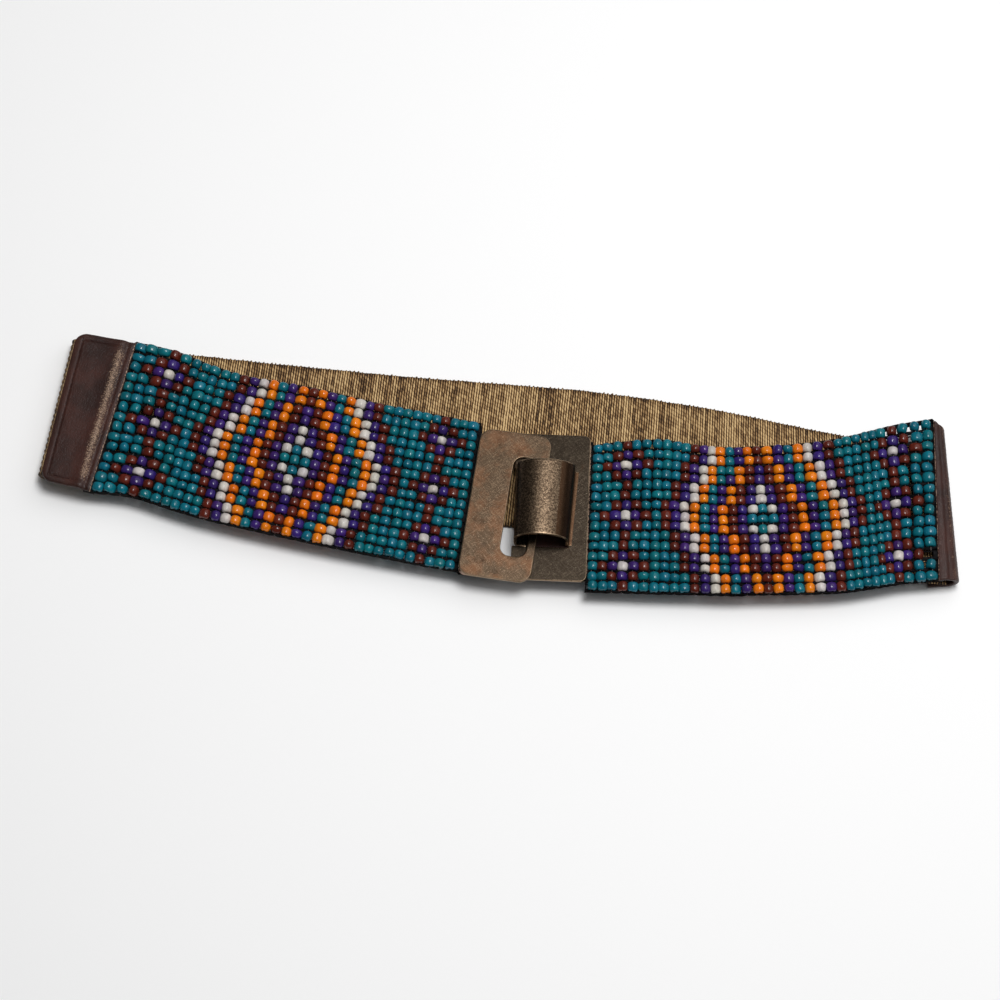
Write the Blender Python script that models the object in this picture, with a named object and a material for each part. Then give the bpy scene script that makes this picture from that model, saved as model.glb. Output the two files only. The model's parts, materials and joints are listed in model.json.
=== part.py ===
"""Beaded stretch belt, fastened and lying flattened on a surface.

+X runs along the front from the left fold to the right fold, +Y points away from the near edge and +Z is up.
The front layer is a leather tab, two loomed bead panels with a two-plate hook buckle between them and
a second leather piece. The elastic lies under it on the surface and joins both ends, so the waist hollow
stays open. All positions along and across the belt are first measured from the middle of the buckle frame.
At the end the whole belt is centred over the origin, with its underside at height zero.
"""

import math

import bmesh
import bpy
from mathutils import Vector

# Sizes, in metres
BELT_WIDTH = 0.0635
ELASTIC_THICKNESS = 0.0020
WAIST_GAP = 0.0054
LEFT_PANEL_LENGTH = 0.1454
RIGHT_PANEL_LENGTH = 0.1347
BEAD_HEIGHT = 0.0038
THREAD_THICKNESS = 0.0010
END_THREAD_LENGTH = 0.0075
LEATHER_THICKNESS = 0.0018
LEFT_TAB_LENGTH = 0.0223
LEFT_TAB_CORNER = 0.0045
LEFT_JOINT_LENGTH = 0.0032
RIGHT_FLAP_LENGTH = 0.0070
RIGHT_TAB_INSET = 0.0012
RAMP_LENGTH = 0.0120
PLATE_THICKNESS = 0.0012
FRAME_LENGTH = 0.0286
FRAME_WIDTH = 0.0630
FRAME_CORNER = 0.0050
SLOT_LENGTH = 0.0425
SLOT_CORNER = 0.0040
FRAME_BAR = 0.0149
FRAME_POST = 0.0033
HOOK_PLATE_LENGTH = 0.0297
HOOK_PLATE_WIDTH = 0.0623
HOOK_PLATE_CORNER = 0.0025
PLATE_OVERLAP = 0.0113
HOOK_WIDTH = 0.0320
HOOK_ROOT = 0.0068
HOOK_RISE = 0.0120
HOOK_SPLAY = 0.0018
LEFT_PAD_LENGTH = 0.0110
RIGHT_PAD_LENGTH = 0.0212
PAD_MARGIN = 0.0010

# Clearances, in metres
FIT = 0.0001
PANEL_TO_PLATE = 0.0004
HOOK_SIDE_GAP = 0.0007
CORNER_CUT = 0.0003

# Sideways offset of the hook plate as a share of the belt width
HOOK_OFFSET_SHARE = 0.043

# How far the left fold's middle lies inside the tab's end, as a share of the fold's radius
LEFT_FOLD_TUCK = 0.666

# How far the right fold's middle lies past the beads, as a share of the leather thickness
RIGHT_FOLD_REACH = 0.75

# Where the hook comes down, as a share of the slot's length along the belt
HOOK_LANDING = 0.36

# Where the elastic's rise ends before the right fold, as a share of the flap's length
RAMP_END_SHARE = 1.3

# How much narrower the right flap is than the elastic, as a share of the belt width
RIGHT_FLAP_INSET = 0.005

# How much of the width that a left tab corner takes is cut away at the very end
LEFT_CORNER_SHARE = 0.999

# Angle between faces above which an edge is sharp, in degrees
SHARP_ANGLE = 30.0

# Turns of the two plates in plan, in degrees
FRAME_TURN = -2.3
HOOK_TURN = 3.9

# Lean of the right fold at its top, in degrees
RIGHT_FOLD_LEAN = -6.3

# Steps along each swept piece
PANEL_STEPS = 44
TAB_STEPS = 22
FOLD_STEPS = 16
FLOOR_STEPS = 46
CORNER_STEPS = 6
HOOK_STEPS = 4

# Front layer, one row per station: share of the panel's length from its plate outwards, sideways offset as a
# share of the belt width, lift as a share of the waist gap, lean of the column in degrees, width as a share
LEFT_FRONT = (
    (0.000, 0.048, 0.00, 2.1, 1.012),
    (0.099, 0.065, 0.06, 2.8, 1.015),
    (0.290, 0.105, 0.16, 4.4, 1.015),
    (0.485, 0.160, 0.20, 6.0, 1.027),
    (0.681, 0.209, 0.16, 6.7, 1.005),
    (0.779, 0.258, 0.11, 6.5, 1.011),
    (0.884, 0.322, 0.05, 6.5, 1.032),
    (1.000, 0.345, 0.00, 6.6, 1.066),
)
RIGHT_FRONT = (
    (0.000, -0.009, 0.00, -3.1, 0.985),
    (0.102, 0.023, 0.08, -3.1, 1.017),
    (0.202, 0.046, 0.13, -3.6, 1.033),
    (0.302, 0.049, 0.18, -5.0, 1.000),
    (0.398, 0.058, 0.21, -7.1, 0.989),
    (0.500, 0.088, 0.24, -8.4, 0.991),
    (0.603, 0.121, 0.23, -9.0, 1.002),
    (0.707, 0.166, 0.20, -8.9, 1.020),
    (0.797, 0.226, 0.14, -7.7, 1.040),
    (0.883, 0.292, 0.08, -5.7, 1.066),
    (1.000, 0.356, 0.00, -4.7, 1.093),
)

# Both ends of the left tab: sideways offset as a share of the belt width, lean in degrees, width as a share
LEFT_TAB_INNER = (0.334, 6.6, 1.052)
LEFT_TAB_OUTER = (0.376, 3.3, 1.038)

# Elastic on the surface, one row per station: share of its length from the left fold, sideways offset as a
# share of the belt width, lean of the weave in degrees, width as a share
FLOOR_RUN = (
    (0.000, 0.405, 2.6, 0.970),
    (0.115, 0.393, 1.0, 0.978),
    (0.370, 0.393, 0.0, 0.978),
    (0.500, 0.411, 0.0, 0.978),
    (0.605, 0.419, -0.6, 0.978),
    (0.740, 0.383, -2.6, 0.978),
    (0.890, 0.304, -6.0, 0.965),
    (1.000, 0.286, -10.4, 0.930),
)

# Leather thickness along the left tab, from the beads outwards: share of the tab length, share of thickness
LEFT_TAB_PROFILE = (
    (0.000, 0.80),
    (0.110, 0.90),
    (0.150, 0.78),
    (0.220, 1.30),
    (0.330, 1.42),
    (0.450, 1.12),
    (0.600, 1.00),
    (0.810, 1.00),
    (0.840, 0.88),
    (0.900, 1.00),
    (1.000, 0.78),
)

# Right leather piece round its fold: angle in degrees from the top, share of the leather thickness
RIGHT_TAB_PROFILE = (
    (0.0, 0.92),
    (22.0, 0.84),
    (44.0, 1.12),
    (70.0, 1.18),
    (110.0, 1.00),
    (180.0, 1.00),
)

# Middle of the hook's sheet: share of the way from its root to the far wall, share of the rise
HOOK_PROFILE = (
    (-0.100, 0.000),
    (-0.060, 0.005),
    (-0.018, 0.035),
    (0.000, 0.110),
    (0.000, 0.300),
    (0.000, 0.500),
    (0.035, 0.650),
    (0.150, 0.830),
    (0.320, 0.950),
    (0.500, 1.000),
    (0.680, 0.975),
    (0.850, 0.870),
    (0.955, 0.690),
    (1.000, 0.460),
    (1.000, 0.060),
    (0.960, -0.110),
    (0.870, -0.195),
    (0.750, -0.215),
)

# Heights of the layers, from the sizes above
FRONT_BASE = ELASTIC_THICKNESS + WAIST_GAP
THREAD_TOP = FRONT_BASE + THREAD_THICKNESS
RIGHT_PAD_BOTTOM = THREAD_TOP + FIT
RIGHT_PAD_TOP = RIGHT_PAD_BOTTOM + 0.5 * LEATHER_THICKNESS
HOOK_BOTTOM = RIGHT_PAD_TOP + FIT
HOOK_TOP = HOOK_BOTTOM + PLATE_THICKNESS
FRAME_BOTTOM = HOOK_TOP + 1.5 * FIT
LEFT_PAD_BOTTOM = THREAD_TOP + FIT
LEFT_PAD_TOP = FRAME_BOTTOM - FIT
LEFT_TAB_BOTTOM = FRONT_BASE + ELASTIC_THICKNESS + FIT
RIGHT_TAB_BOTTOM = THREAD_TOP + FIT

# Places along the belt, from the sizes above
FRAME_EDGE = 0.5 * FRAME_LENGTH
LEFT_PANEL_START = FRAME_EDGE + PANEL_TO_PLATE
LEFT_PANEL_END = LEFT_PANEL_START + LEFT_PANEL_LENGTH
HOOK_EDGE = FRAME_EDGE + HOOK_PLATE_LENGTH - PLATE_OVERLAP
HOOK_ASIDE = HOOK_OFFSET_SHARE * BELT_WIDTH
RIGHT_PANEL_START = HOOK_EDGE + 3.0 * PANEL_TO_PLATE
RIGHT_PANEL_END = RIGHT_PANEL_START + RIGHT_PANEL_LENGTH
LEFT_FOLD_RADIUS = 0.5 * FRONT_BASE
LEFT_FOLD_AT = LEFT_PANEL_END + LEFT_TAB_LENGTH - LEFT_FOLD_TUCK * LEFT_FOLD_RADIUS
RIGHT_FOLD_RADIUS = 0.5 * (RIGHT_TAB_BOTTOM + LEATHER_THICKNESS) - 0.5 * LEATHER_THICKNESS
RIGHT_FOLD_AT = RIGHT_PANEL_END + RIGHT_FOLD_REACH * LEATHER_THICKNESS


def blend(rows, place, column):
    """Smooth value of one column of a table at a place given in the table's first column."""
    last = len(rows) - 1
    index = 0
    while index < last - 1 and place > rows[index + 1][0]:
        index += 1
    before, after = rows[index], rows[index + 1]
    span = after[0] - before[0]
    share = (place - before[0]) / span

    def slope(at):
        low, high = rows[max(at - 1, 0)], rows[min(at + 1, last)]
        return (high[column] - low[column]) / (high[0] - low[0])

    if share < 0.0:
        return before[column] + slope(index) * span * share
    if share > 1.0:
        return after[column] + slope(index + 1) * span * (share - 1.0)
    square, cube = share * share, share * share * share
    value = (2.0 * cube - 3.0 * square + 1.0) * before[column] + (3.0 * square - 2.0 * cube) * after[column]
    value += span * (cube - 2.0 * square + share) * slope(index)
    value += span * (cube - square) * slope(index + 1)
    return value


def along_and_across(lean):
    """Unit vectors along and across the belt in plan for a column that leans by some degrees."""
    angle = math.radians(lean)
    return Vector((math.cos(angle), -math.sin(angle), 0.0)), Vector((math.sin(angle), math.cos(angle), 0.0))


def front_station(left, distance):
    """Middle point at the underside, lean and width of a bead panel, at a distance from the buckle."""
    start = LEFT_PANEL_START if left else RIGHT_PANEL_START
    length = LEFT_PANEL_LENGTH if left else RIGHT_PANEL_LENGTH
    rows = LEFT_FRONT if left else RIGHT_FRONT
    share = (distance - start) / length
    held = min(max(share, 0.0), 1.0)
    aside = blend(rows, share, 1) * BELT_WIDTH
    lift = blend(rows, held, 2) * WAIST_GAP
    lean = blend(rows, held, 3)
    width = blend(rows, held, 4) * BELT_WIDTH
    sign = -1.0 if left else 1.0
    return Vector((sign * distance, aside, FRONT_BASE + lift)), lean, width


def tab_station(distance):
    """Middle point at the panel's height, lean and width of the left tab, at a distance from the buckle."""
    share = (distance - LEFT_PANEL_END) / LEFT_TAB_LENGTH
    ends = zip(LEFT_TAB_INNER, LEFT_TAB_OUTER)
    aside, lean, width = (inner + (outer - inner) * share for inner, outer in ends)
    return Vector((-distance, aside * BELT_WIDTH, FRONT_BASE)), lean, width * BELT_WIDTH


def ring(middle, across, up, width, low, high, cut):
    """Eight corners of a flat section with cut corners, from its middle, directions, width and heights."""
    half = 0.5 * width
    corners = (
        (-half + cut, low),
        (half - cut, low),
        (half, low + cut),
        (half, high - cut),
        (half - cut, high),
        (-half + cut, high),
        (-half, high - cut),
        (-half, low + cut),
    )
    return [middle + across * side + up * height for side, height in corners]


def loft(name, rings, material):
    """Closed object through rings of equal count, capped at both ends."""
    mesh_data = bmesh.new()
    loops = [[mesh_data.verts.new(point) for point in points] for points in rings]
    count = len(loops[0])
    for first, second in zip(loops, loops[1:]):
        for index in range(count):
            following = (index + 1) % count
            mesh_data.faces.new((first[index], first[following], second[following], second[index]))
    mesh_data.faces.new(loops[0])
    mesh_data.faces.new(list(reversed(loops[-1])))
    return finish(name, mesh_data, material)


def finish(name, mesh_data, material):
    """Object from an edited mesh, with outward faces, its material and smooth shading between sharp edges."""
    bmesh.ops.recalc_face_normals(mesh_data, faces=mesh_data.faces)
    mesh = bpy.data.meshes.new(name)
    mesh_data.to_mesh(mesh)
    mesh_data.free()
    piece = bpy.data.objects.new(name, mesh)
    bpy.context.scene.collection.objects.link(piece)
    if material is not None:
        mesh.materials.append(material)
    mesh.shade_smooth()
    mesh.set_sharp_from_angle(angle=math.radians(SHARP_ANGLE))
    return piece


def surface(name, color, roughness, metallic):
    """Plain material with one colour, roughness and metallic value."""
    material = bpy.data.materials.new(name)
    material.use_nodes = True
    shader = material.node_tree.nodes["Principled BSDF"]
    shader.inputs["Base Color"].default_value = (*color, 1.0)
    shader.inputs["Roughness"].default_value = roughness
    shader.inputs["Metallic"].default_value = metallic
    return material


def merge(target, other, operation):
    """Applies a Boolean of another object to a target and removes the other object."""
    modifier = target.modifiers.new("merge", "BOOLEAN")
    modifier.operation = operation
    modifier.solver = "EXACT"
    modifier.object = other
    graph = bpy.context.evaluated_depsgraph_get()
    result = bpy.data.meshes.new_from_object(target.evaluated_get(graph))
    target.modifiers.clear()
    old = target.data
    target.data = result
    result.name = old.name
    bpy.data.meshes.remove(old)
    bpy.data.objects.remove(other)
    result.shade_smooth()
    result.set_sharp_from_angle(angle=math.radians(SHARP_ANGLE))


def rounded_outline(low, high, radii):
    """Corner points of a rectangle in plan, with one radius per corner from the near left, anticlockwise."""
    corners = ((low[0], low[1]), (high[0], low[1]), (high[0], high[1]), (low[0], high[1]))
    signs = ((1, 1), (-1, 1), (-1, -1), (1, -1))
    points = []
    for number, (corner, sign, radius) in enumerate(zip(corners, signs, radii)):
        centre = (corner[0] + sign[0] * radius, corner[1] + sign[1] * radius)
        first = math.radians(180.0 + 90.0 * number)
        for step in range(CORNER_STEPS + 1):
            angle = first + math.radians(90.0) * step / CORNER_STEPS
            points.append((centre[0] + radius * math.cos(angle), centre[1] + radius * math.sin(angle)))
    return points


def prism(name, outline, origin, turn, bottom, top, material):
    """Upright prism over an outline given in a plate's own plan directions."""
    along, across = along_and_across(-turn)
    rings = []
    for height in (bottom, top):
        rings.append([origin + along * x + across * y + Vector((0.0, 0.0, height)) for x, y in outline])
    return loft(name, rings, material)


def make_elastic(material):
    """Elastic: end under the left tab, round the left fold, and along the surface to the right end."""
    up = Vector((0.0, 0.0, 1.0))
    half = 0.5 * ELASTIC_THICKNESS
    rings = []
    upper_end = LEFT_PANEL_END + LEFT_JOINT_LENGTH + FIT
    end_width = FLOOR_RUN[0][3] * BELT_WIDTH
    for step in range(TAB_STEPS):
        distance = upper_end + (LEFT_FOLD_AT - upper_end) * step / TAB_STEPS
        middle, lean, _ = tab_station(distance)
        _, across = along_and_across(lean)
        rings.append(ring(middle + up * half, across, up, end_width, -half, half, CORNER_CUT))
    top, top_lean, _ = tab_station(LEFT_FOLD_AT)
    radius = 0.5 * top.z
    floor_lean = FLOOR_RUN[0][2]
    floor_aside = FLOOR_RUN[0][1] * BELT_WIDTH
    for step in range(FOLD_STEPS + 1):
        share = step / FOLD_STEPS
        angle = math.pi * share
        lean = top_lean + (floor_lean - top_lean) * share
        along, across = along_and_across(lean)
        outward = along * (-math.sin(angle)) + up * math.cos(angle)
        centre = Vector((-LEFT_FOLD_AT, top.y + (floor_aside - top.y) * share, half + radius))
        rings.append(ring(centre + outward * radius, across, outward, end_width, -half, half, CORNER_CUT))
    length = LEFT_FOLD_AT + RIGHT_FOLD_AT
    ramp_end = RIGHT_FOLD_AT - RAMP_END_SHARE * RIGHT_FLAP_LENGTH
    for step in range(1, FLOOR_STEPS + 1):
        share = step / FLOOR_STEPS
        _, across = along_and_across(blend(FLOOR_RUN, share, 2))
        place = -LEFT_FOLD_AT + length * share
        risen = min(max((place - ramp_end) / RAMP_LENGTH + 1.0, 0.0), 1.0)
        lift = (LEATHER_THICKNESS + FIT) * risen * risen * (3.0 - 2.0 * risen)
        middle = Vector((place, blend(FLOOR_RUN, share, 1) * BELT_WIDTH, lift + half))
        width = blend(FLOOR_RUN, share, 3) * BELT_WIDTH
        rings.append(ring(middle, across, -up, width, -half, half, CORNER_CUT))
    return loft("elastic_back", rings, material)


def make_panel(left, material):
    """Bead panel with its thinner end threads under the plate and under the leather."""
    up = Vector((0.0, 0.0, 1.0))
    start = LEFT_PANEL_START if left else RIGHT_PANEL_START
    end = LEFT_PANEL_END if left else RIGHT_PANEL_END
    outer_joint = LEFT_JOINT_LENGTH if left else RIGHT_FOLD_AT - RIGHT_PANEL_END
    outer_height = ELASTIC_THICKNESS if left else THREAD_THICKNESS
    step_run = CORNER_CUT
    origin = Vector((0.0, 0.0, 0.0)) if left else hook_place()
    along, across = along_and_across(-FRAME_TURN if left else -HOOK_TURN)
    thread_width = (FRAME_WIDTH if left else HOOK_PLATE_WIDTH) - 2.0 * PAD_MARGIN
    rings = []
    for distance in (start - END_THREAD_LENGTH, start):
        middle = origin + along * (-distance if left else distance - HOOK_EDGE) + up * FRONT_BASE
        rings.append(ring(middle, across, up, thread_width, 0.0, THREAD_THICKNESS, CORNER_CUT))
    places = []
    for step in range(PANEL_STEPS + 1):
        places.append((start + step_run + (end - start - 3.0 * step_run) * step / PANEL_STEPS, BEAD_HEIGHT))
    places.append((end - step_run, outer_height))
    for distance, height in places:
        middle, lean, width = front_station(left, distance)
        _, across = along_and_across(lean)
        rings.append(ring(middle, across, up, width, 0.0, height, CORNER_CUT))
    if left:
        middle, lean, width = tab_station(end + outer_joint)
    else:
        middle, _, width = front_station(left, end + outer_joint)
        lean = RIGHT_FOLD_LEAN
    _, across = along_and_across(lean)
    rings.append(ring(middle, across, up, width, 0.0, outer_height, CORNER_CUT))
    return loft("bead_panel_left" if left else "bead_panel_right", rings, material)


def make_left_tab(material):
    """Leather tab over the elastic's end, with a ridge near the beads and rounded outer corners."""
    up = Vector((0.0, 0.0, 1.0))
    rings = []
    for step in range(TAB_STEPS + 1):
        share = math.sin(0.5 * math.pi * step / TAB_STEPS)
        distance = LEFT_PANEL_END + LEFT_TAB_LENGTH * share
        middle, lean, width = tab_station(distance)
        _, across = along_and_across(lean)
        inset = max(LEFT_TAB_CORNER - LEFT_TAB_LENGTH * (1.0 - share), 0.0)
        corner = LEFT_TAB_CORNER - math.sqrt(LEFT_TAB_CORNER**2 - inset**2)
        width -= 2.0 * LEFT_CORNER_SHARE * corner
        thickness = LEATHER_THICKNESS * blend(LEFT_TAB_PROFILE, share, 1)
        base = middle + up * (LEFT_TAB_BOTTOM - FRONT_BASE)
        rings.append(ring(base, across, up, width, 0.0, thickness, CORNER_CUT))
    return loft("end_tab_left", rings, material)


def make_right_tab(material):
    """Leather piece from the beads round the right fold and under the elastic's end."""
    up = Vector((0.0, 0.0, 1.0))
    half = 0.5 * LEATHER_THICKNESS
    top, _, top_width = front_station(False, RIGHT_FOLD_AT)
    top_aside = top.y - 0.5 * RIGHT_TAB_INSET
    top_width -= RIGHT_TAB_INSET
    low_lean = FLOOR_RUN[-1][2]
    low_aside = FLOOR_RUN[-1][1] * BELT_WIDTH
    low_width = (FLOOR_RUN[-1][3] - RIGHT_FLAP_INSET) * BELT_WIDTH
    centre_height = half + RIGHT_FOLD_RADIUS
    rings = []
    edge = RIGHT_PANEL_END
    middle, lean, width = front_station(False, edge)
    _, across = along_and_across(lean)
    width -= RIGHT_TAB_INSET
    middle -= across * (0.5 * RIGHT_TAB_INSET)
    first = Vector((middle.x, middle.y, centre_height + RIGHT_FOLD_RADIUS))
    thickness = LEATHER_THICKNESS * RIGHT_TAB_PROFILE[0][1]
    rings.append(ring(first, across, up, width, -half, thickness - half, CORNER_CUT))
    for step in range(FOLD_STEPS + 1):
        share = step / FOLD_STEPS
        angle = math.pi * share
        lean = RIGHT_FOLD_LEAN + (low_lean - RIGHT_FOLD_LEAN) * share
        width = top_width + (low_width - top_width) * share
        along, across = along_and_across(lean)
        outward = along * math.sin(angle) + up * math.cos(angle)
        centre = Vector((RIGHT_FOLD_AT, top_aside + (low_aside - top_aside) * share, centre_height))
        high = LEATHER_THICKNESS * blend(RIGHT_TAB_PROFILE, 180.0 * share, 1) - half
        middle = centre + outward * RIGHT_FOLD_RADIUS
        rings.append(ring(middle, across, outward, width, -half, high, CORNER_CUT))
    along, across = along_and_across(low_lean)
    last = Vector((RIGHT_FOLD_AT, low_aside, half)) - along * RIGHT_FLAP_LENGTH
    rings.append(ring(last, across, -up, low_width, -half, half, CORNER_CUT))
    return loft("end_tab_right", rings, material)


def make_frame(material):
    """Left plate with the slot that leaves a narrow post on its right."""
    origin = Vector((0.0, 0.0, 0.0))
    half = (0.5 * FRAME_LENGTH, 0.5 * FRAME_WIDTH)
    outer = rounded_outline((-half[0], -half[1]), half, (FRAME_CORNER,) * 4)
    top = FRAME_BOTTOM + PLATE_THICKNESS
    plate = prism("buckle_frame", outer, origin, FRAME_TURN, FRAME_BOTTOM, top, material)
    slot_low = (-half[0] + FRAME_BAR, -0.5 * SLOT_LENGTH)
    slot_high = (half[0] - FRAME_POST, 0.5 * SLOT_LENGTH)
    hole = rounded_outline(slot_low, slot_high, (SLOT_CORNER,) * 4)
    low, high = FRAME_BOTTOM - PLATE_THICKNESS, FRAME_BOTTOM + 2.0 * PLATE_THICKNESS
    merge(plate, prism("slot", hole, origin, FRAME_TURN, low, high, None), "DIFFERENCE")
    return plate


def hook_place():
    """Middle of the hook plate's outer edge in plan."""
    return Vector((HOOK_EDGE, HOOK_ASIDE, 0.0))


def hook_sheet_middle():
    """Points along the middle of the hook's sheet: share of the way inwards from its root, and height."""
    points = []
    last = len(HOOK_PROFILE) - 1
    for index in range(last):
        rows = [HOOK_PROFILE[min(max(index + shift, 0), last)] for shift in (-1, 0, 1, 2)]
        steps = HOOK_STEPS if index < last - 1 else HOOK_STEPS + 1
        for step in range(steps):
            t = step / HOOK_STEPS
            weights = (
                0.5 * (-t + 2.0 * t * t - t * t * t),
                0.5 * (2.0 - 5.0 * t * t + 3.0 * t * t * t),
                0.5 * (t + 4.0 * t * t - 3.0 * t * t * t),
                0.5 * (t * t * t - t * t),
            )
            inwards = sum(weight * row[0] for weight, row in zip(weights, rows))
            height = sum(weight * row[1] for weight, row in zip(weights, rows))
            points.append((inwards, HOOK_RISE * height))
    return points


def hook_section(root, far_wall):
    """Outline of the hook's sheet seen along the belt's width, between its root and its far wall."""
    points = []
    for inwards, height in hook_sheet_middle():
        points.append(Vector((-root - (far_wall - root) * inwards, height)))
    inner, outer = [], []
    for index, point in enumerate(points):
        before, after = points[max(index - 1, 0)], points[min(index + 1, len(points) - 1)]
        direction = (after - before).normalized()
        normal = Vector((-direction.y, direction.x)) * (0.5 * PLATE_THICKNESS)
        inner.append(point + normal)
        outer.append(point - normal)
    return inner + list(reversed(outer))


def make_hook(material):
    """Right plate with a notch open to the left, and the curled sheet that rises from the notch's root."""
    edge = hook_place()
    half_width = 0.5 * HOOK_PLATE_WIDTH
    radii = (HOOK_PLATE_CORNER,) * 4
    outer = rounded_outline((-HOOK_PLATE_LENGTH, -half_width), (0.0, half_width), radii)
    plate = prism("buckle_hook", outer, edge, HOOK_TURN, HOOK_BOTTOM, HOOK_TOP, material)
    along, across = along_and_across(-HOOK_TURN)
    middle = -across.dot(edge)
    side = 0.5 * HOOK_WIDTH + HOOK_SIDE_GAP
    notch = (
        (-2.0 * HOOK_PLATE_LENGTH, middle - side),
        (-HOOK_ROOT - 0.5 * PLATE_THICKNESS, middle - side),
        (-HOOK_ROOT - 0.5 * PLATE_THICKNESS, middle + side),
        (-2.0 * HOOK_PLATE_LENGTH, middle + side),
    )
    low, high = HOOK_BOTTOM - PLATE_THICKNESS, HOOK_TOP + PLATE_THICKNESS
    merge(plate, prism("notch", notch, edge, HOOK_TURN, low, high, None), "DIFFERENCE")
    centre_height = 0.5 * (HOOK_BOTTOM + HOOK_TOP)
    slot_low = -0.5 * FRAME_LENGTH + FRAME_BAR
    slot_high = 0.5 * FRAME_LENGTH - FRAME_POST
    far_wall = HOOK_EDGE - slot_low - HOOK_LANDING * (slot_high - slot_low)
    rings = []
    for end in (-0.5, 0.5):
        root = HOOK_ROOT + 0.5 * PLATE_THICKNESS - end * HOOK_SPLAY
        base = edge + across * (middle + end * HOOK_WIDTH) + Vector((0.0, 0.0, centre_height))
        section = hook_section(root, far_wall)
        rings.append([base + along * point.x + Vector((0.0, 0.0, point.y)) for point in section])
    merge(plate, loft("hook_sheet", rings, material), "UNION")
    return plate


def make_pad(left, material):
    """Thin leather pad between the end threads and a plate."""
    origin = Vector((0.0, 0.0, 0.0)) if left else hook_place()
    turn = FRAME_TURN if left else HOOK_TURN
    width = (FRAME_WIDTH if left else HOOK_PLATE_WIDTH) - 2.0 * PAD_MARGIN
    low_end = -FRAME_EDGE if left else -RIGHT_PAD_LENGTH
    high_end = -FRAME_EDGE + LEFT_PAD_LENGTH if left else 0.5 * PANEL_TO_PLATE
    radii = (HOOK_PLATE_CORNER,) * 4
    outline = rounded_outline((low_end, -0.5 * width), (high_end, 0.5 * width), radii)
    bottom = LEFT_PAD_BOTTOM if left else RIGHT_PAD_BOTTOM
    top = LEFT_PAD_TOP if left else RIGHT_PAD_TOP
    name = "backing_pad_left" if left else "backing_pad_right"
    return prism(name, outline, origin, turn, bottom, top, material)


def centre_over_origin(pieces):
    """Moves every mesh so that the belt is centred over the origin, with its underside at height zero."""
    points = [vertex.co for piece in pieces for vertex in piece.data.vertices]
    low = Vector((min(point[axis] for point in points) for axis in range(3)))
    high = Vector((max(point[axis] for point in points) for axis in range(3)))
    shift = Vector((-0.5 * (low.x + high.x), -0.5 * (low.y + high.y), -low.z))
    for piece in pieces:
        for vertex in piece.data.vertices:
            vertex.co += shift


def main():
    for old in list(bpy.data.objects):
        bpy.data.objects.remove(old)
    webbing = surface("woven_elastic", (0.33, 0.22, 0.12), 0.85, 0.0)
    leather = surface("dark_leather", (0.045, 0.022, 0.018), 0.45, 0.0)
    beads = surface("glass_beads", (0.01, 0.21, 0.24), 0.25, 0.0)
    brass = surface("antiqued_brass", (0.20, 0.155, 0.105), 0.45, 0.9)
    pieces = [
        make_elastic(webbing),
        make_panel(True, beads),
        make_panel(False, beads),
        make_left_tab(leather),
        make_right_tab(leather),
        make_frame(brass),
        make_hook(brass),
        make_pad(True, leather),
        make_pad(False, leather),
    ]
    centre_over_origin(pieces)


main()
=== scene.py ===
"""Beaded stretch belt, fastened and lying flattened on a pale floor.

The front layer is a leather tab, two loomed panels of glass beads with a two-plate hook buckle between
them, and a leather fold. The woven elastic lies under it and joins both ends. Every piece is built from
the buckle's middle outwards, +X along the front to the right fold, +Y away from the near edge and +Z up,
and then moved to the frame.
"""

import json
import math
import random
from typing import NamedTuple

import bmesh
import bpy
from bpy.props import FloatProperty, FloatVectorProperty, IntProperty, PointerProperty
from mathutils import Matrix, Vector, noise

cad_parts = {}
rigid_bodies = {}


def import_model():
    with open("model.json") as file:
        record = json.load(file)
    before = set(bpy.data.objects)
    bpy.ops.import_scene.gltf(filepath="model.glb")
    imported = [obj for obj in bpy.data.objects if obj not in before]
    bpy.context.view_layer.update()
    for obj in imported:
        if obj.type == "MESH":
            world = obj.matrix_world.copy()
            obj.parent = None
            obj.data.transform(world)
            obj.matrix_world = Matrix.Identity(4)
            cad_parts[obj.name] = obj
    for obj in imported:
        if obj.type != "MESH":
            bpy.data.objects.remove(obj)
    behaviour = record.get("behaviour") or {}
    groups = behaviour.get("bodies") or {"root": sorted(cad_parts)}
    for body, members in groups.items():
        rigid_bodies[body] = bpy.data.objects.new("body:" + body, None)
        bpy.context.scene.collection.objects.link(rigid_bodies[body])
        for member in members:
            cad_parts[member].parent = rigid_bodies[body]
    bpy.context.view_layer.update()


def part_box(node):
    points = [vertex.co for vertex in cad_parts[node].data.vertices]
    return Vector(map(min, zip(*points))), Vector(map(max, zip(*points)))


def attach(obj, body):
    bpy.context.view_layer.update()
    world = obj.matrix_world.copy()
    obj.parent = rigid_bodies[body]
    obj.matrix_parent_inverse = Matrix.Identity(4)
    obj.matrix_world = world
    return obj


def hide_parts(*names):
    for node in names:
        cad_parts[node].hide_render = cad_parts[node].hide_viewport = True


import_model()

bl_info = {
    "name": "Beaded Stretch Belt",
    "version": (1, 0, 0),
    "blender": (4, 5, 0),
    "location": "3D View > Sidebar > Belt",
    "description": "Dresses a fastened beaded belt with glass beads, threads, elastic, leather and a buckle",
    "category": "Object",
}

ROOT = "root"

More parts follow.
